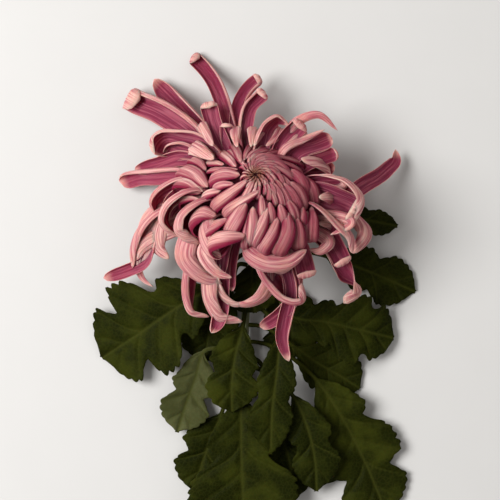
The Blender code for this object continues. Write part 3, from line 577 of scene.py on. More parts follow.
class Gathered:
    """Points, faces and the two vector attributes of many shells, for one mesh."""

    def __init__(self):
        self.points, self.faces, self.kinds, self.places = [], [], [], []
        self.count = 0

    def add(self, points, faces, kind, place):
        self.points.append(points)
        self.faces.append(faces + self.count)
        self.kinds.append(kind)
        self.places.append(place)
        self.count += len(points)

    def piece(self, name, node, material):
        """One smooth-shaded object at the origin that stands for the CAD node."""
        points = world(np.concatenate(self.points))
        faces = np.concatenate(self.faces)
        mesh = bpy.data.meshes.new(name)
        mesh.vertices.add(len(points))
        mesh.vertices.foreach_set("co", points.astype(np.float32).ravel())
        mesh.loops.add(faces.size)
        mesh.loops.foreach_set("vertex_index", faces.astype(np.int32).ravel())
        mesh.polygons.add(len(faces))
        mesh.polygons.foreach_set("loop_start", np.arange(0, faces.size, 4, dtype=np.int32))
        for label, values in (("kind", self.kinds), ("place", self.places)):
            attribute = mesh.attributes.new(label, "FLOAT_VECTOR", "POINT")
            attribute.data.foreach_set("vector", np.concatenate(values).astype(np.float32).ravel())
        mesh.update(calc_edges=True)
        mesh.validate()
        mesh.polygons.foreach_set("use_smooth", np.ones(len(mesh.polygons), bool))
        made = bpy.data.objects.new(name, mesh)
        bpy.context.scene.collection.objects.link(made)
        made.data.materials.append(material)
        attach(made, "root")
        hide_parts(node)


def marks(grid, widths, length, tone, swap=0):
    """The attributes of a shell: kind is face, distance across and share along, and place
    is the distance across and along in millimetres and the tone of the whole blade."""
    rows, columns = grid
    u = np.broadcast_to(np.linspace(-1, 1, columns), (rows, columns)).ravel()
    v = np.repeat(np.linspace(0, 1, rows), columns)
    across = u * np.repeat(widths / 2, columns)
    kinds = [np.stack([np.full_like(u, face), np.abs(u), v], axis=-1) for face in (1 - swap, swap)]
    place = np.stack([across, v * length, np.full_like(u, tone)], axis=-1)
    return np.concatenate(kinds), np.concatenate([place, place])


def widening(share, root_width):
    """The width from the root on, as a share: a quarter sine from the root width to one."""
    return root_width + (1 - root_width) * np.sin(np.clip(share / WIDENING_SHARE, 0, 1) * math.pi / 2)


def round_tip(share, start, power):
    """One up to the start share, then an oval that closes at the tip."""
    beyond = np.clip((share - start) / (1 - start), 0, 1)
    return np.clip(1 - beyond**power, CLOSED_SHARE, 1) ** (1 / power)


def add_blade(gathered, path, normals, widths, turns, skew, grid, look, rng):
    """A petal: its cross section carried along the path, ribbed lengthwise and waved.

    The half width varies by two sine waves with random heights and phases. The ribs are
    2 |sin(count * pi * u / 2)|^power - 1 across, a sine's root along, and end at the rims.
    """
    columns = grid[1]
    share = np.linspace(0, 1, grid[0])
    across, rise, angle = section(turns, skew, look.roll_bias, columns)
    sides = np.cross(tangents(path), normals)
    half = (widths / 2)[:, None]
    u = np.linspace(-1, 1, columns)
    wave = rng.uniform(-1, 1, 4)
    uneven = 1 + look.unevenness * (
        wave[0] * np.sin(7 * share + 6 * wave[1]) + wave[2] * np.sin(15 * share + 6 * wave[3])
    )
    reach = half * uneven[:, None] * across
    lift = half * rise
    sheet = path[:, None] + reach[..., None] * sides[:, None] + lift[..., None] * normals[:, None]
    face = np.cos(angle)[..., None] * normals[:, None] - np.sin(angle)[..., None] * sides[:, None]
    window = np.sin(math.pi * share)[:, None] ** 0.5
    shift = rng.uniform(-RIB_SHIFT, RIB_SHIFT)
    count = max(1, round(widths.max() / look.rib_pitch * MM))
    depth = look.rib_depth / MM * min(1.0, widths.max() / FULL_RIB_WIDTH)
    crease = 2 * np.abs(np.sin(count * math.pi * (u + shift) / 2)) ** CREASE_POWER - 1
    sheet = sheet - (depth * window * crease * (1 - u**8))[..., None] * face
    thickness = look.thickness / MM * (1 - RIM_THINNING * np.abs(u) ** 5)
    points, faces = shell(sheet, face, thickness * np.clip(half / THIN_HALF, THINNEST, 1))
    kind, place = marks(grid, widths, distances(path)[-1], rng.uniform())
    gathered.add(points, faces, kind, place)


def add_outer_petal(gathered, petal, look, rng):
    """A petal rooted in the core that runs out through its record's points.

    Its width rises by a quarter sine and closes in an oval, and its rolls and turns change
    evenly between the record's. The last point is moved out by what the hook's bend takes.
    """
    outward = unit(flattened(np.array(petal.points[0]) - FACE_CENTRE))
    root = FACE_CENTRE + ROOT_RADIUS * outward - ROOT_DEPTH * FACE_AXIS
    share = np.linspace(0, 1, PETAL_GRID[0])
    chain = np.array([root, *petal.points], float)
    length = distances(chain)[-1]
    hook_length = look.hook_length * petal.width
    bend = math.radians(max(petal.hook, 1))
    lost = 1 - math.sin(min(bend, math.pi / 2)) / bend
    chain[-1] += lost * hook_length * unit(chain[-1] - chain[-2])
    path = curve(chain, share)
    along, normals = carried(path)
    rolls = np.interp(share, np.linspace(ROLL_START, 1, len(petal.rolls)), petal.rolls)
    path, normals = hooked(path, rolled(along, normals, rolls), 1 - hook_length / length, petal.hook)
    tip = round_tip(share, petal.taper, 0.45 + 2.2 * petal.taper)
    widths = petal.width * widening(share, PETAL_ROOT_WIDTH) * tip
    middle_turn, tip_turn = petal.turns
    turns = np.interp(share, PETAL_TURN_SHARES, (PETAL_ROOT_TURN, middle_turn, middle_turn, tip_turn))
    add_blade(gathered, path, normals, widths, turns, petal.skew, PETAL_GRID, look, rng)


def add_dome_floret(gathered, width, heel, tip, bow, grid, look, rng):
    """A floret that turns up at its heel and arches inwards over the dome to its tip.

    Its curve starts in the core, rises through the heel, stands half a width over the dome
    in its middle and bows sideways there, and its width closes in an oval.
    """
    outward = unit(flattened(heel - tip))
    side = np.cross(FACE_AXIS, outward)
    middle = (heel + tip) / 2
    inward = flattened(middle - FACE_CENTRE)
    inward *= min(1.0, ROOT_RADIUS / np.linalg.norm(inward))
    points = (
        FACE_CENTRE + inward - ROOT_DEPTH * FACE_AXIS,
        heel - HEEL_INSET * outward - HEEL_DEPTH * FACE_AXIS,
        heel,
        middle + MIDDLE_LIFT * width * FACE_AXIS + bow * side,
        tip + TIP_LIFT * width * FACE_AXIS,
    )
    share = np.linspace(0, 1, grid[0])
    path = curve(points, share)
    normals = unit(np.cross(tangents(path), side))
    widths = width * widening(share, FLORET_ROOT_WIDTH) * round_tip(share, *FLORET_TAPER)
    turns = np.interp(share, FLORET_TURN_SHARES, FLORET_TURNS)
    lean = rng.uniform(-FLORET_LEAN, FLORET_LEAN)
    normals = rolled(tangents(path), normals, np.full(len(path), lean))
    skew = rng.uniform(-FLORET_SKEW, FLORET_SKEW)
    add_blade(gathered, path, normals, widths, turns, skew, grid, look, rng)


def inner_florets(count, inside, outside, width, low, high, swirl, rng):
    """The width, heel, tip and bow of each floret of one inner ring.

    Its places are shaken a little, and its tip is turned on from its heel by half the swirl
    and, towards the side of the strongest swirl, by up to 1.5 times as much more.
    """
    for k in range(count):
        angle = math.radians(low + (high - low) * (k + rng.uniform(*PLACE_SHAKE)) / count)
        turn = swirl * (0.5 + 1.5 * max(0.0, math.cos(angle - SWIRL_SIDE)))
        radii = np.array([outside, inside]) * rng.uniform(*RADIUS_SHAKE, 2)
        angles = np.array([angle, angle + turn])
        x = CROWN[0] + radii * np.cos(angles)
        y = CROWN[1] + FACE_UP[1] * radii * np.sin(angles)
        yield width, on_dome(x[0], y[0]), on_dome(x[1], y[1]), INNER_BOW * turn * (outside - inside)


def add_turned(gathered, profile, grid):
    """A closed surface turned about the head's axis from a profile of radius and height."""
    rows, columns = grid
    profile = np.array(profile, float)
    knots = distances(profile)
    at = np.linspace(0, knots[-1], rows)
    radius = np.maximum(np.interp(at, knots, profile[:, 0]), CLOSED)
    height = np.interp(at, knots, profile[:, 1])
    ring = face_ring(np.linspace(0, 2 * math.pi, columns, endpoint=False))
    points = FACE_CENTRE + radius[:, None, None] * ring + height[:, None, None] * FACE_AXIS
    v = np.repeat(np.linspace(0, 1, rows), columns)
    kind = np.stack([np.ones_like(v), np.zeros_like(v), v], axis=-1)
    gathered.add(points.reshape(-1, 3), ring_faces(rows, columns), kind, np.zeros_like(kind))


def add_bracts(gathered, rng):
    """Three rings of pointed scales that overlap up the cup.

    Each scale spans an angle that closes in an oval towards its tip, and leans out from
    the cup's profile by a little more than the ring above it.
    """
    profile = np.array(CUP_PROFILE[1:-1], float)[::-1]
    knots = distances(profile)
    v = np.linspace(0, 1, BRACT_GRID[0])
    u = np.linspace(-1, 1, BRACT_GRID[1])
    for ring, (low, high, count, lift) in enumerate(BRACT_RINGS):
        for k in range(count):
            shake = rng.uniform(-BRACT_SHAKE, BRACT_SHAKE)
            centre = 2 * math.pi * (k + 0.5 * (ring % 2)) / count + shake
            at = knots[-1] * (low + (high - low) * v)
            radius = np.interp(at, knots, profile[:, 0]) + lift + BRACT_LEAN * v
            height = np.interp(at, knots, profile[:, 1])
            spread = BRACT_OVERLAP * math.pi / count * round_tip(v, *BRACT_TAPER)
            puff = radius[:, None] + BRACT_PUFF * (1 - u**2) - BRACT_SINK
            outward = face_ring(centre + spread[:, None] * u)
            sheet = FACE_CENTRE + puff[..., None] * outward + height[:, None, None] * FACE_AXIS
            points, faces = shell(sheet, -outward, np.full(BRACT_GRID, BRACT_THICKNESS))
            kind, place = marks(BRACT_GRID, 4 * spread, BRACT_LENGTH, rng.uniform())
            gathered.add(points, faces, kind, place)


def stem_line():
    """The stem's points, from its top under the head to its cut end."""
    return [FACE_CENTRE - STEM_TOP_DEPTH * FACE_AXIS, *STEM_PATH]


def add_stem(gathered):
    """A ribbed tube along the stem, closed at both ends by rings drawn in to its line.

    Its radius is R (1 - relief (1 - cos(ribs * angle))), so the grooves are cut into R.
    """
    path = curve(stem_line(), np.linspace(0, 1, STEM_GRID[0]))
    along, normals = carried(path, FACE_RIGHT)
    line, normals, sides = (
        np.pad(rows, ((1, 1), (0, 0)), mode="edge") for rows in (path, normals, np.cross(along, normals))
    )
    radii = np.full(len(line), STEM_SKIN_RADIUS)
    radii[[0, -1]] = CLOSED
    angle = np.linspace(0, 2 * math.pi, STEM_GRID[1], endpoint=False)
    crest = np.cos(STEM_RIBS * angle)
    around = radii[:, None] * (1 - STEM_RELIEF * (1 - crest))
    ring = np.cos(angle)[:, None] * normals[:, None] + np.sin(angle)[:, None] * sides[:, None]
    points = (line[:, None] + around[..., None] * ring).reshape(-1, 3)
    v = np.repeat(np.linspace(0, 1, len(line)), len(angle))
    kind = np.stack([np.ones_like(v), np.tile(crest, len(line)), v], axis=-1)
    round_it = np.tile(angle, len(line)) * STEM_SKIN_RADIUS
    place = np.stack([round_it, v * distances(path)[-1], np.zeros_like(v)], axis=-1)
    faces = ring_faces(len(line), len(angle))[:, [0, 3, 2, 1]]
    gathered.add(points, faces, kind, place)


def leaf_path(leaf):
    """The path of a leaf's stalk and midrib, its shares along the blade and the blade's length.

    The stalk leaves the stem square to its line, and its rows have the share zero.
    """
    line = curve(stem_line(), np.linspace(0, 1, STEM_SAMPLES))
    at = int(leaf.stem_share * (len(line) - 1))
    first = np.array(leaf.points[0]) - line[at]
    run = tangents(line)[at]
    outward = unit(first - first.dot(run) * run)
    start = line[at] + (STEM_RADIUS - STALK_SINK) * outward
    bend = line[at] + (STEM_RADIUS + STALK_BEND) * outward
    chain = np.array([start, bend, *leaf.points], float)
    knots = distances(chain)
    base = knots[2] / knots[-1]
    stalk = np.linspace(0, base, STALK_ROWS, endpoint=False)
    blade = np.linspace(base, 1, LEAF_GRID[0] - STALK_ROWS)
    share = np.concatenate([np.zeros(STALK_ROWS), np.linspace(0, 1, len(blade))])
    return curve(chain, np.concatenate([stalk, blade])), share, knots[-1] - knots[2]


def leaf_half_width(leaf, share, teeth, phase):
    """A sine envelope, cut in between the lobes by the seventh power of a cosine and
    toothed by a finer sine, and never narrower than the stalk."""
    envelope = np.sin(math.pi * share**1.15) ** 0.7
    cleft = CLEFT_DEPTH * leaf.cleft * np.abs(np.cos(math.pi * leaf.lobes * share)) ** 7
    tooth = np.abs(np.sin(math.pi * teeth * share + phase)) ** 0.8
    half = leaf.width / 2 * envelope * (1 - cleft)
    return np.maximum(half * (1 + TOOTH_DEPTH * (tooth - 0.5)), STALK_HALF)


def leaf_veins(leaf, share, mid, edge, length):
    """The distance to the nearest vein, and by a bell curve of it how much a point is rib.

    Two side veins to a lobe run forwards from the midrib, and every other one is weaker.
    """
    nearest = mid * 1.2
    rib = np.exp(-((mid / MIDRIB_WIDTH) ** 2))
    count = 2 * leaf.lobes
    for k in range(count):
        vein = (k + 0.5) / count + VEIN_OFFSET - VEIN_SLANT * (1 - edge**0.8)
        gap = np.abs(share - vein) * length
        strength = MINOR_VEIN if k % 2 else 1.0
        nearest = np.minimum(nearest, gap / strength)
        rib = np.maximum(rib, strength * np.exp(-((gap / VEIN_WIDTH) ** 2)) * (1 - 0.5 * edge))
    return nearest, rib


def add_leaf(gathered, leaf, look, rng):
    """A lobed, toothed and quilted blade on its stalk.

    The sheet sinks along its veins and swells between them, folds up a little from the
    midrib, and its edge rises and falls by two sine waves.
    """
    path, share, length = leaf_path(leaf)
    along, normals = carried(path[::-1])
    along, normals = -along[::-1], normals[::-1]
    sides = np.cross(along, normals)
    phase = rng.uniform(0, PHASES, 6)
    half = leaf_half_width(leaf, share, round(length / look.tooth_pitch * MM), phase[0])
    u = np.linspace(-1, 1, LEAF_GRID[1])
    edge = np.abs(u)[None, :]
    down = share[:, None]
    reach = half[:, None] * u * (1 + SIDE_DIFFERENCE * np.sin(5 * down + phase[1]) * np.sign(u))
    lean = LEAF_LEAN * (half - STALK_HALF)[:, None] * edge
    grown = np.clip(down / GROWN_SHARE, 0, 1)
    mid = np.abs(reach)
    nearest, rib = leaf_veins(leaf, down, mid, edge, length)
    quilt = 1 - np.exp(-((nearest / QUILT_REACH) ** 2))
    swell = look.quilting / MM * quilt * (1 - edge**6) * grown
    wave = look.waviness / MM * edge**2 * grown * (
        np.sin(2 * math.pi * leaf.lobes * down + phase[2] + np.sign(u))
        + 0.5 * np.sin(9 * down + phase[3] * np.sign(u))
    )
    fold = LEAF_FOLD * half[:, None] * edge**1.3 * grown
    height = swell - VEIN_SINK * rib * grown + wave + fold
    sheet = path[:, None] + reach[..., None] * sides[:, None]
    sheet = sheet + lean[..., None] * along[:, None] + height[..., None] * normals[:, None]
    sheet[..., 2] = np.maximum(sheet[..., 2], LEAF_CLEARANCE)
    swelling = SWELLING * np.exp(-((mid / SWELLING_WIDTH) ** 2)) * (1 - down)
    thickness = np.where(down > 0, look.thickness / MM, STALK_THICKNESS) + swelling
    face = np.broadcast_to(normals[:, None], sheet.shape)
    points, faces = shell(sheet, face, thickness * (1 - 0.5 * edge**8))
    kind, place = marks(LEAF_GRID, 2 * half, length, rng.uniform(), leaf.turned)
    kind[:, 1] = np.tile(rib.ravel(), 2)
    kind[:, 2] = np.tile(np.repeat(share, LEAF_GRID[1]), 2)
    gathered.add(points, faces, kind, place)


class Nodes:
    """Short calls for one material's node tree."""

    def __init__(self, name):
        self.material = bpy.data.materials.new(name)
        self.material.use_nodes = True
        self.tree = self.material.node_tree
        self.surface = self.tree.nodes["Principled BSDF"]

    def put(self, kind, inputs=(), **settings):
        """A node with its settings, and inputs as (name, value or output) pairs."""
        node = self.tree.nodes.new(kind)
        for key, value in settings.items():
            setattr(node, key, value)
        for key, value in inputs:
            self.feed(node, key, value)
        return node

    def feed(self, node, key, value):
        if isinstance(value, bpy.types.NodeSocket):
            self.tree.links.new(value, node.inputs[key])
        else:
            node.inputs[key].default_value = value

    def maths(self, operation, a, b):
        return self.put("ShaderNodeMath", ((0, a), (1, b)), operation=operation).outputs[0]

    def times(self, a, b):
        return self.maths("MULTIPLY", a, b)

    def span(self, value, low, high, to_low=0.0, to_high=1.0):
        """The value mapped smoothly from low..high to the other two numbers."""
        inputs = ((0, value), (1, low), (2, high), (3, to_low), (4, to_high))
        return self.put("ShaderNodeMapRange", inputs, interpolation_type="SMOOTHSTEP").outputs[0]

    def mix(self, share, a, b):
        node = self.put("ShaderNodeMix", ((0, share),), data_type="RGBA")
        for key, colour in ((6, a), (7, b)):
            self.feed(node, key, colour if isinstance(colour, bpy.types.NodeSocket) else (*colour, 1))
        return node.outputs[2]

    def split(self, name):
        """The three numbers of a vector attribute."""
        read = self.put("ShaderNodeAttribute", attribute_name=name)
        return self.put("ShaderNodeSeparateXYZ", ((0, read.outputs["Vector"]),)).outputs[:3]

    def here(self):
        """The point's Object coordinates."""
        return self.put("ShaderNodeTexCoord").outputs["Object"]

    def away(self, point):
        """Distance from a fixed point."""
        links = ((0, self.here()), (1, tuple(point)))
        return self.put("ShaderNodeVectorMath", links, operation="DISTANCE").outputs["Value"]

    def noise(self, vector, scale, detail):
        inputs = (("Vector", vector), ("Scale", scale), ("Detail", detail), ("Roughness", 0.55))
        return self.put("ShaderNodeTexNoise", inputs).outputs["Fac"]

    def joined(self, x, y, z):
        return self.put("ShaderNodeCombineXYZ", ((0, x), (1, y), (2, z))).outputs[0]

    def streaks(self, across, down, seed, detail):
        """Noise drawn out lengthwise; across and down are pairs of a millimetre output and
        the streaks per millimetre."""
        return self.noise(self.joined(self.times(*across), self.times(*down), seed), 1.0, detail)

    def finish(self, colour, height, strength, distance, **values):
        """The colour, the bump and the plain values of the surface."""
        self.feed(self.surface, "Base Color", colour)
        inputs = (("Strength", strength), ("Distance", distance), ("Height", height))
        self.feed(self.surface, "Normal", self.put("ShaderNodeBump", inputs).outputs[0])
        for key, value in values.items():
            self.feed(self.surface, key.replace("_", " "), value)
        return self.material


def petal_material(look, name, painted_shade_depth):
    """Petal skin: pale pink outside and deep magenta inside, with fine lines lengthwise,
    peach rims and patches, pale tips and a deeper root.

    Florets take painted shade by the given depth: their sides darken where they sink into the
    gaps between florets, and their whole outer face darkens far from the lit flank, on the side
    of the head away from the light. The deeper root is partly the petal's own colour and partly
    painted shade where it sinks among the others. Near the crown the skin turns brown, and each
    petal has a tone of its own.
    """
    n = Nodes(name)
    face, edge, along = n.split("kind")
    across, down, tone = n.split("place")
    seed = n.times(tone, SEED_SPREAD)
    streak = n.streaks((across, 1.1), (down, 0.03), seed, 2.0)
    line = n.span(streak, 0.45, 0.60)
    thread = n.span(n.streaks((across, 2.1), (down, 0.05), seed, 2.0), 0.42, 0.64)
    cloud = n.noise(n.joined(across, down, seed), 0.12, 2.0)
    outer = n.mix(n.times(line, 0.65), look.outer_colour, look.outer_line)
    outer = n.mix(n.span(cloud, 0.4, 0.8, 0.0, 0.6), outer, look.peach_colour)
    outer = n.mix(n.times(thread, 0.5), outer, look.outer_line)
    # Painted shade on the outer face, mixed towards the deep root pink: over a floret's sides, where they
    # sink into the gaps, and far from the lit flank, on the head's side away from the light. The darker
    # root is partly the petal's own colour and partly painted shade among the other petals.
    root_start, root_end = 0.10 + 0.15 * painted_shade_depth, 0.48 + 0.27 * painted_shade_depth
    flank = n.away(world(on_dome(*LIT_FLANK)))
    for root_and_painted_shade in (
        n.span(edge, *PAINTED_SIDE_SHADE_BAND, 0.0, painted_shade_depth),
        n.span(along, root_start, root_end, 0.9, 0.0),
        n.span(flank, *PAINTED_FLANK_SHADE_BAND, 0.0, 0.68 * painted_shade_depth),
    ):
        outer = n.mix(root_and_painted_shade, outer, look.outer_root_and_painted_shade)
    inner = n.mix(line, look.inner_colour, look.inner_line)
    inner = n.mix(n.times(thread, 0.35), inner, look.inner_dark)
    inner = n.mix(n.span(along, *INNER_ROOT_BAND, 0.6, 0.0), inner, look.inner_dark)
    skin = n.mix(face, outer, inner)
    rim = n.times(n.span(edge, *RIM_BAND), n.span(along, *RIM_START_BAND))
    skin = n.mix(n.times(rim, 0.35 * (1 - painted_shade_depth)), skin, look.peach_colour)
    skin = n.mix(n.span(along, *TIP_BAND, 0.0, 0.8 - 0.5 * painted_shade_depth), skin, look.tip_colour)
    skin = n.mix(n.span(tone, 0.0, 1.0, 0.0, 0.28), skin, look.outer_line)
    crown = n.away(world(on_dome(*CROWN)))
    skin = n.mix(n.span(crown, *CROWN_BAND, 0.85, 0.0), skin, look.crown_colour)
    return n.finish(
        skin, n.maths("ADD", line, thread), 0.35, 0.00012,
        Roughness=n.span(streak, 0.3, 0.7, 0.46, 0.6), Specular_IOR_Level=0.06,
        Subsurface_Weight=look.glow, Subsurface_Scale=0.0025, Subsurface_Radius=(1.0, 0.4, 0.5),
    )


def core_material(look):
    """The hidden heart of the head, dark magenta with a green-brown crown."""
    n = Nodes("petal_heart")
    along = n.split("kind")[2]
    grain = n.noise(n.here(), 900.0, 4.0)
    heart = n.mix(grain, look.inner_colour, look.outer_root_and_painted_shade)
    crown = n.mix(grain, HEART_BROWN, HEART_GREEN)
    heart = n.mix(n.span(along, 0.05, 0.16, 1.0, 0.0), heart, crown)
    return n.finish(heart, grain, 0.6, 0.0005, Roughness=0.65)


def leaf_material(look):
    """Leaf skin: olive green above, grey-green below, with paler ribs and a fine net; its colours
    are darker than a leaf's own, partly painted shade for the dim light on the leaves.
    """
    n = Nodes("leaf_skin")
    face, rib = n.split("kind")[:2]
    tone = n.split("place")[2]
    here = n.here()
    cloud = n.noise(here, 60.0, 4.0)
    speck = n.noise(here, 700.0, 3.0)
    cells = n.put("ShaderNodeTexVoronoi", (("Vector", here), ("Scale", 520.0)), feature="DISTANCE_TO_EDGE")
    net = n.span(cells.outputs["Distance"], 0.0, 0.16, 1.0, 0.0)
    top = n.mix(n.span(cloud, 0.42, 0.66), look.top_colour, look.top_light)
    top = n.mix(n.span(tone, 0.0, 1.0, 0.0, 0.5), top, look.top_dark)
    under = n.mix(n.span(cloud, 0.3, 0.7), look.under_colour, look.under_light)
    skin = n.mix(face, under, top)
    skin = n.mix(n.times(net, 0.22), skin, look.rib_colour)
    skin = n.mix(n.times(speck, 0.12), skin, look.top_dark)
    skin = n.mix(n.times(rib, 0.7), skin, look.rib_colour)
    return n.finish(
        skin, n.maths("ADD", n.times(net, -0.6), speck), 0.5, 0.0002,
        Roughness=n.span(cloud, 0.3, 0.7, 0.5, 0.66), Specular_IOR_Level=0.02,
        Subsurface_Weight=0.05, Subsurface_Scale=0.001,
    )


def stem_material(look):
    """Stem skin: ribbed green, streaked lengthwise, with purple grooves and a pale cut end."""
    n = Nodes("stem_skin")
    rib, along = n.split("kind")[1:]
    across, down, tone = n.split("place")
    streak = n.streaks((across, 2.0), (down, 0.12), tone, 4.0)
    skin = n.mix(n.span(streak, 0.35, 0.7), look.stem_colour, look.stem_light)
    skin = n.mix(n.span(rib, -1.0, 1.0, 0.45, 0.0), skin, look.stem_purple)
    skin = n.mix(n.span(along, *CUT_BAND), skin, look.cut_colour)
    return n.finish(skin, streak, 0.4, 0.0002, Roughness=0.55, Sheen_Weight=0.15)


def bract_material(look):
    """Bract skin: green scales whose thin rims and tips are brown and papery."""
    n = Nodes("bract_skin")
    edge, along = n.split("kind")[1:]
    across, down, tone = n.split("place")
    streak = n.streaks((across, 2.5), (down, 0.3), tone, 3.0)
    skin = n.mix(streak, look.bract_colour, look.bract_light)
    rim = n.maths("MAXIMUM", n.span(edge, 0.6, 0.95), n.span(along, 0.8, 1.0))
    skin = n.mix(n.times(rim, 0.8), skin, look.bract_rim)
    return n.finish(skin, streak, 0.3, 0.0002, Roughness=0.6)


def floor_material(colour):
    """A plain matte surface with a faint grain."""
    n = Nodes("floor_matte")
    lighter = tuple(min(1.0, c * GRAIN_LIGHT) for c in colour)
    n.feed(n.surface, "Base Color", n.mix(n.noise(n.here(), 40.0, 4.0), colour, lighter))
    n.feed(n.surface, "Roughness", FLOOR_ROUGHNESS)
    return n.material


# Short forms of the three kinds of setting: a plain number, a length and a colour.
def amount(name, description, default, **kind):
    return FloatProperty(name=name, description=description, default=default, **kind)


def measure(name, description, default):
    return amount(name, description, default, unit="LENGTH", min=0.0)


def tint(name, description, default):
    return FloatVectorProperty(
        name=name, description=description, default=default, subtype="COLOR", min=0.0, max=1.0, size=3
    )


class ChrysanthemumPetalSettings(bpy.types.PropertyGroup):
    thickness: measure("Thickness", "Thickness of a petal", 0.00055)
    rib_depth: measure("Rib depth", "Depth of the ribs along a petal", 0.00022)
    rib_pitch: measure("Rib pitch", "Distance between the ribs of a petal", 0.0026)
    roll_bias: amount("Roll bias", "How far the turn gathers at the edges", 1.6)
    hook_length: amount("Hook length", "Length of a hooked tip over its width", 0.8)
    glow: amount("Glow", "Share of the light that passes through a petal", 0.65)
    # How much painted shade a floret gets on its sides, its root and its far flank.
    painted_shade_depth: amount("Side depth", "How far a floret's sides deepen", 1.0)
    unevenness: amount("Unevenness", "Waviness of a petal's width", 0.035)
    swirl: amount("Swirl", "Turn of the inner florets", 0.45, subtype="ANGLE")
    outer_colour: tint("Outer face", "Pale outer face of a petal", (0.68, 0.385, 0.345))
    outer_line: tint("Outer lines", "Lines along the outer face", (0.27, 0.034, 0.070))
    # Deep pink of the outer face's root, partly its own colour, used also as painted shade on the roots and
    # on the florets' sides and far flank.
    outer_root_and_painted_shade: tint("Outer root", "Deep pink of the outer face's root and sides", (0.165, 0.009, 0.032))
    peach_colour: tint("Peach", "Peach of the rims and patches", (0.66, 0.36, 0.27))
    tip_colour: tint("Tips", "Colour of the tips", (0.68, 0.40, 0.33))
    inner_colour: tint("Inner face", "Magenta inner face", (0.165, 0.026, 0.055))
    inner_line: tint("Inner lines", "Lighter lines of the inner face", (0.29, 0.078, 0.11))
    inner_dark: tint("Inner depth", "Dark lines and root of the inner face", (0.17, 0.012, 0.042))
    crown_colour: tint("Crown", "Brown of the florets at the crown", (0.15, 0.040, 0.014))


class ChrysanthemumGreenSettings(bpy.types.PropertyGroup):
    thickness: measure("Thickness", "Thickness of a leaf", 0.00055)
    quilting: measure("Quilting", "Swell of a leaf between its veins", 0.0009)
    waviness: measure("Waviness", "Wave of a leaf's edge", 0.0008)
    tooth_pitch: measure("Tooth pitch", "Length of a tooth of the leaf's edge", 0.0042)
    # The leaf colours are set darker than a leaf's own green: partly painted shade, standing in for the dim
    # light on the leaves.
    top_colour: tint("Leaf top", "Upper face of a leaf", (0.009, 0.011, 0.001))
    top_light: tint("Leaf light", "Lighter parts of the upper face", (0.028, 0.032, 0.003))
    top_dark: tint("Leaf dark", "Darker parts of the upper face", (0.006, 0.008, 0.001))
    under_colour: tint("Leaf underside", "Lower face of a leaf", (0.040, 0.043, 0.014))
    under_light: tint("Underside light", "Lighter parts of the lower face", (0.078, 0.082, 0.032))
    rib_colour: tint("Ribs", "Ribs of a leaf", (0.036, 0.039, 0.006))
    stem_colour: tint("Stem", "Skin of the stem", (0.055, 0.075, 0.018))
    stem_light: tint("Stem light", "Lighter streaks of the stem", (0.13, 0.15, 0.045))
    stem_purple: tint("Stem purple", "Flush in the stem's grooves", (0.07, 0.03, 0.025))
    cut_colour: tint("Cut end", "Pith at the stem's cut end", (0.45, 0.46, 0.28))
    bract_colour: tint("Bract", "Green of the bracts", (0.045, 0.065, 0.016))
    bract_light: tint("Bract light", "Lighter streaks of the bracts", (0.10, 0.12, 0.035))
    bract_rim: tint("Bract rim", "Papery rim of the bracts", (0.16, 0.09, 0.04))


class ChrysanthemumStageSettings(bpy.types.PropertyGroup):
    lens: amount("Lens", "Focal length in mm on a 36 mm sensor", 150.0)
    camera_height: measure("Camera height", "Height of the camera over the floor", CAMERA_HEIGHT * MM)
    floor_colour: tint("Floor", "Pale floor", (0.54, 0.53, 0.515))
    key_power: amount("Key light", "Power of the key light", 25.0, unit="POWER")
    fill_power: amount("Fill light", "Power of the fill light", 0.9, unit="POWER")
    sky_strength: amount("Sky", "Strength of the even light", 0.38)


class CHRYSANTHEMUM_OT_heart(bpy.types.Operator):
    """Build the small hidden core that the florets grow from"""

    bl_idname = "chrysanthemum.heart"
    bl_label = "Heart of the head"

    def execute(self, context):
        gathered = Gathered()
        add_turned(gathered, CORE_PROFILE, CORE_GRID)
        gathered.piece("flower_heart", "bloom", core_material(context.scene.chrysanthemum_petals))
        return {"FINISHED"}


class CHRYSANTHEMUM_OT_outer_petals(bpy.types.Operator):
    """Build the long outer petals in four groups round the head"""

    bl_idname = "chrysanthemum.outer_petals"
    bl_label = "Outer petals"

    def execute(self, context):
        look = context.scene.chrysanthemum_petals
        skin = petal_material(look, "petal_skin", 0.0)
        for seed, (name, petals) in enumerate(PETAL_GROUPS, PETAL_SEED):
            gathered = Gathered()
            rng = np.random.default_rng(seed)
            for petal in petals:
                add_outer_petal(gathered, petal, look, rng)
            gathered.piece(name, "bloom", skin)
        return {"FINISHED"}


class CHRYSANTHEMUM_OT_dome_florets(bpy.types.Operator):
    """Build the incurved florets of the dome and the small ones of its middle"""

    bl_idname = "chrysanthemum.dome_florets"
    bl_label = "Dome florets"

    def execute(self, context):
        look = context.scene.chrysanthemum_petals
        skin = petal_material(look, "floret_skin", look.painted_shade_depth)
        rng = np.random.default_rng(FLORET_SEED)
        gathered = Gathered()
        for width, heel, tip, bow in DOME_FLORETS:
            add_dome_floret(gathered, width, on_dome(*heel), on_dome(*tip), bow, FLORET_GRID, look, rng)
        gathered.piece("florets_dome", "bloom", skin)
        gathered = Gathered()
        for ring in INNER_RINGS:
            for width, heel, tip, bow in inner_florets(*ring, look.swirl, rng):
                add_dome_floret(gathered, width, heel, tip, bow, INNER_GRID, look, rng)
        gathered.piece("florets_inner", "bloom", skin)
        return {"FINISHED"}


class CHRYSANTHEMUM_OT_involucre(bpy.types.Operator):
    """Build the green cup behind the head and its rings of bracts"""

    bl_idname = "chrysanthemum.involucre"
    bl_label = "Involucre"

    def execute(self, context):
        gathered = Gathered()
        add_turned(gathered, CUP_PROFILE, CUP_GRID)
        add_bracts(gathered, np.random.default_rng(BRACT_SEED))
        gathered.piece("bract_cup", "involucre", bract_material(context.scene.chrysanthemum_greens))
        return {"FINISHED"}


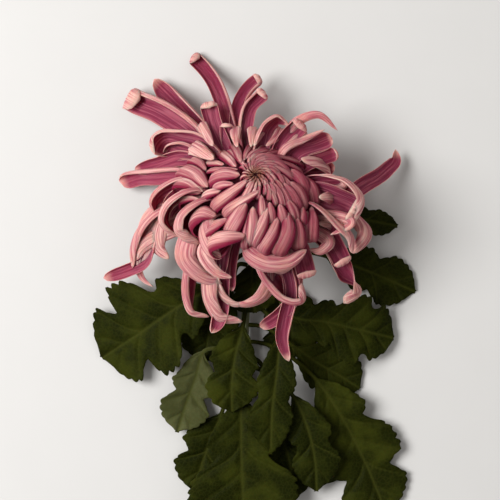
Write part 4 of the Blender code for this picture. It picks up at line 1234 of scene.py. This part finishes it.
class CHRYSANTHEMUM_OT_stem(bpy.types.Operator):
    """Build the ribbed stem"""

    bl_idname = "chrysanthemum.stem"
    bl_label = "Stem"

    def execute(self, context):
        gathered = Gathered()
        add_stem(gathered)
        gathered.piece("stem_skin", "stem", stem_material(context.scene.chrysanthemum_greens))
        return {"FINISHED"}


class CHRYSANTHEMUM_OT_leaves(bpy.types.Operator):
    """Build the lobed leaves along the stem"""

    bl_idname = "chrysanthemum.leaves"
    bl_label = "Leaves"

    def execute(self, context):
        look = context.scene.chrysanthemum_greens
        skin = leaf_material(look)
        for i, leaf in enumerate(LEAVES, 1):
            gathered = Gathered()
            add_leaf(gathered, leaf, look, np.random.default_rng(LEAF_SEED + i))
            gathered.piece(f"leaf_blade_{i:02d}", f"leaf_{i:02d}", skin)
        return {"FINISHED"}


class CHRYSANTHEMUM_OT_stage(bpy.types.Operator):
    """Build the pale floor, the soft light and the camera"""

    bl_idname = "chrysanthemum.stage"
    bl_label = "Stage"

    def execute(self, context):
        look = context.scene.chrysanthemum_stage
        scene = context.scene
        mesh = bpy.data.meshes.new("floor")
        corners = [(x * FLOOR_HALF, y * FLOOR_HALF, 0) for x, y in ((-1, -1), (1, -1), (1, 1), (-1, 1))]
        mesh.from_pydata(corners, [], [(0, 1, 2, 3)])
        mesh.materials.append(floor_material(tuple(look.floor_colour)))
        floor = bpy.data.objects.new("floor", mesh)
        scene.collection.objects.link(floor)
        for name, power, size, spot in (
            ("key", look.key_power, 0.8, Vector((-0.80, 0.15, 1.0))),
            ("fill", look.fill_power, 1.0, Vector((0.75, 0.45, 0.9))),
        ):
            lamp = bpy.data.lights.new(name, "AREA")
            lamp.shape = "DISK"
            lamp.energy = power
            lamp.size = size
            holder = bpy.data.objects.new(name, lamp)
            holder.location = LIGHT_AIM + spot
            holder.rotation_euler = (-spot).to_track_quat("-Z", "Y").to_euler()
            scene.collection.objects.link(holder)
        sky = bpy.data.worlds.new("even_light")
        sky.use_nodes = True
        even = sky.node_tree.nodes["Background"]
        even.inputs["Color"].default_value = (1.0, 0.98, 0.96, 1)
        even.inputs["Strength"].default_value = look.sky_strength
        scene.world = sky
        scene.view_settings.view_transform = "Standard"
        lens = bpy.data.cameras.new("camera")
        lens.lens = look.lens
        lens.sensor_width = 36.0
        lens.clip_end = 10.0
        camera = bpy.data.objects.new("camera", lens)
        camera.location = (*world(PHOTO_CENTRE)[:2], look.camera_height)
        scene.collection.objects.link(camera)
        scene.camera = camera
        return {"FINISHED"}


class CHRYSANTHEMUM_PT_panel(bpy.types.Panel):
    """The flower's sizes, colours and build steps"""

    bl_label = "Chrysanthemum"
    bl_idname = "CHRYSANTHEMUM_PT_panel"
    bl_space_type = "VIEW_3D"
    bl_region_type = "UI"
    bl_category = "Chrysanthemum"

    def draw(self, context):
        for group in ("chrysanthemum_petals", "chrysanthemum_greens", "chrysanthemum_stage"):
            settings = getattr(context.scene, group)
            box = self.layout.box()
            for key in settings.__annotations__:
                box.prop(settings, key)
        for operator in OPERATORS:
            self.layout.operator(operator.bl_idname)


OPERATORS = (
    CHRYSANTHEMUM_OT_heart,
    CHRYSANTHEMUM_OT_outer_petals,
    CHRYSANTHEMUM_OT_dome_florets,
    CHRYSANTHEMUM_OT_involucre,
    CHRYSANTHEMUM_OT_stem,
    CHRYSANTHEMUM_OT_leaves,
    CHRYSANTHEMUM_OT_stage,
)
SETTINGS = (
    ("chrysanthemum_petals", ChrysanthemumPetalSettings),
    ("chrysanthemum_greens", ChrysanthemumGreenSettings),
    ("chrysanthemum_stage", ChrysanthemumStageSettings),
)


def register():
    for name, group in SETTINGS:
        bpy.utils.register_class(group)
        setattr(bpy.types.Scene, name, PointerProperty(type=group))
    for operator in OPERATORS:
        bpy.utils.register_class(operator)
    bpy.utils.register_class(CHRYSANTHEMUM_PT_panel)


def unregister():
    bpy.utils.unregister_class(CHRYSANTHEMUM_PT_panel)
    for operator in reversed(OPERATORS):
        bpy.utils.unregister_class(operator)
    for name, group in reversed(SETTINGS):
        delattr(bpy.types.Scene, name)
        bpy.utils.unregister_class(group)


def main():
    register()
    bpy.ops.chrysanthemum.heart()
    bpy.ops.chrysanthemum.outer_petals()
    bpy.ops.chrysanthemum.dome_florets()
    bpy.ops.chrysanthemum.involucre()
    bpy.ops.chrysanthemum.stem()
    bpy.ops.chrysanthemum.leaves()
    bpy.ops.chrysanthemum.stage()


if __name__ == "__main__":
    main()
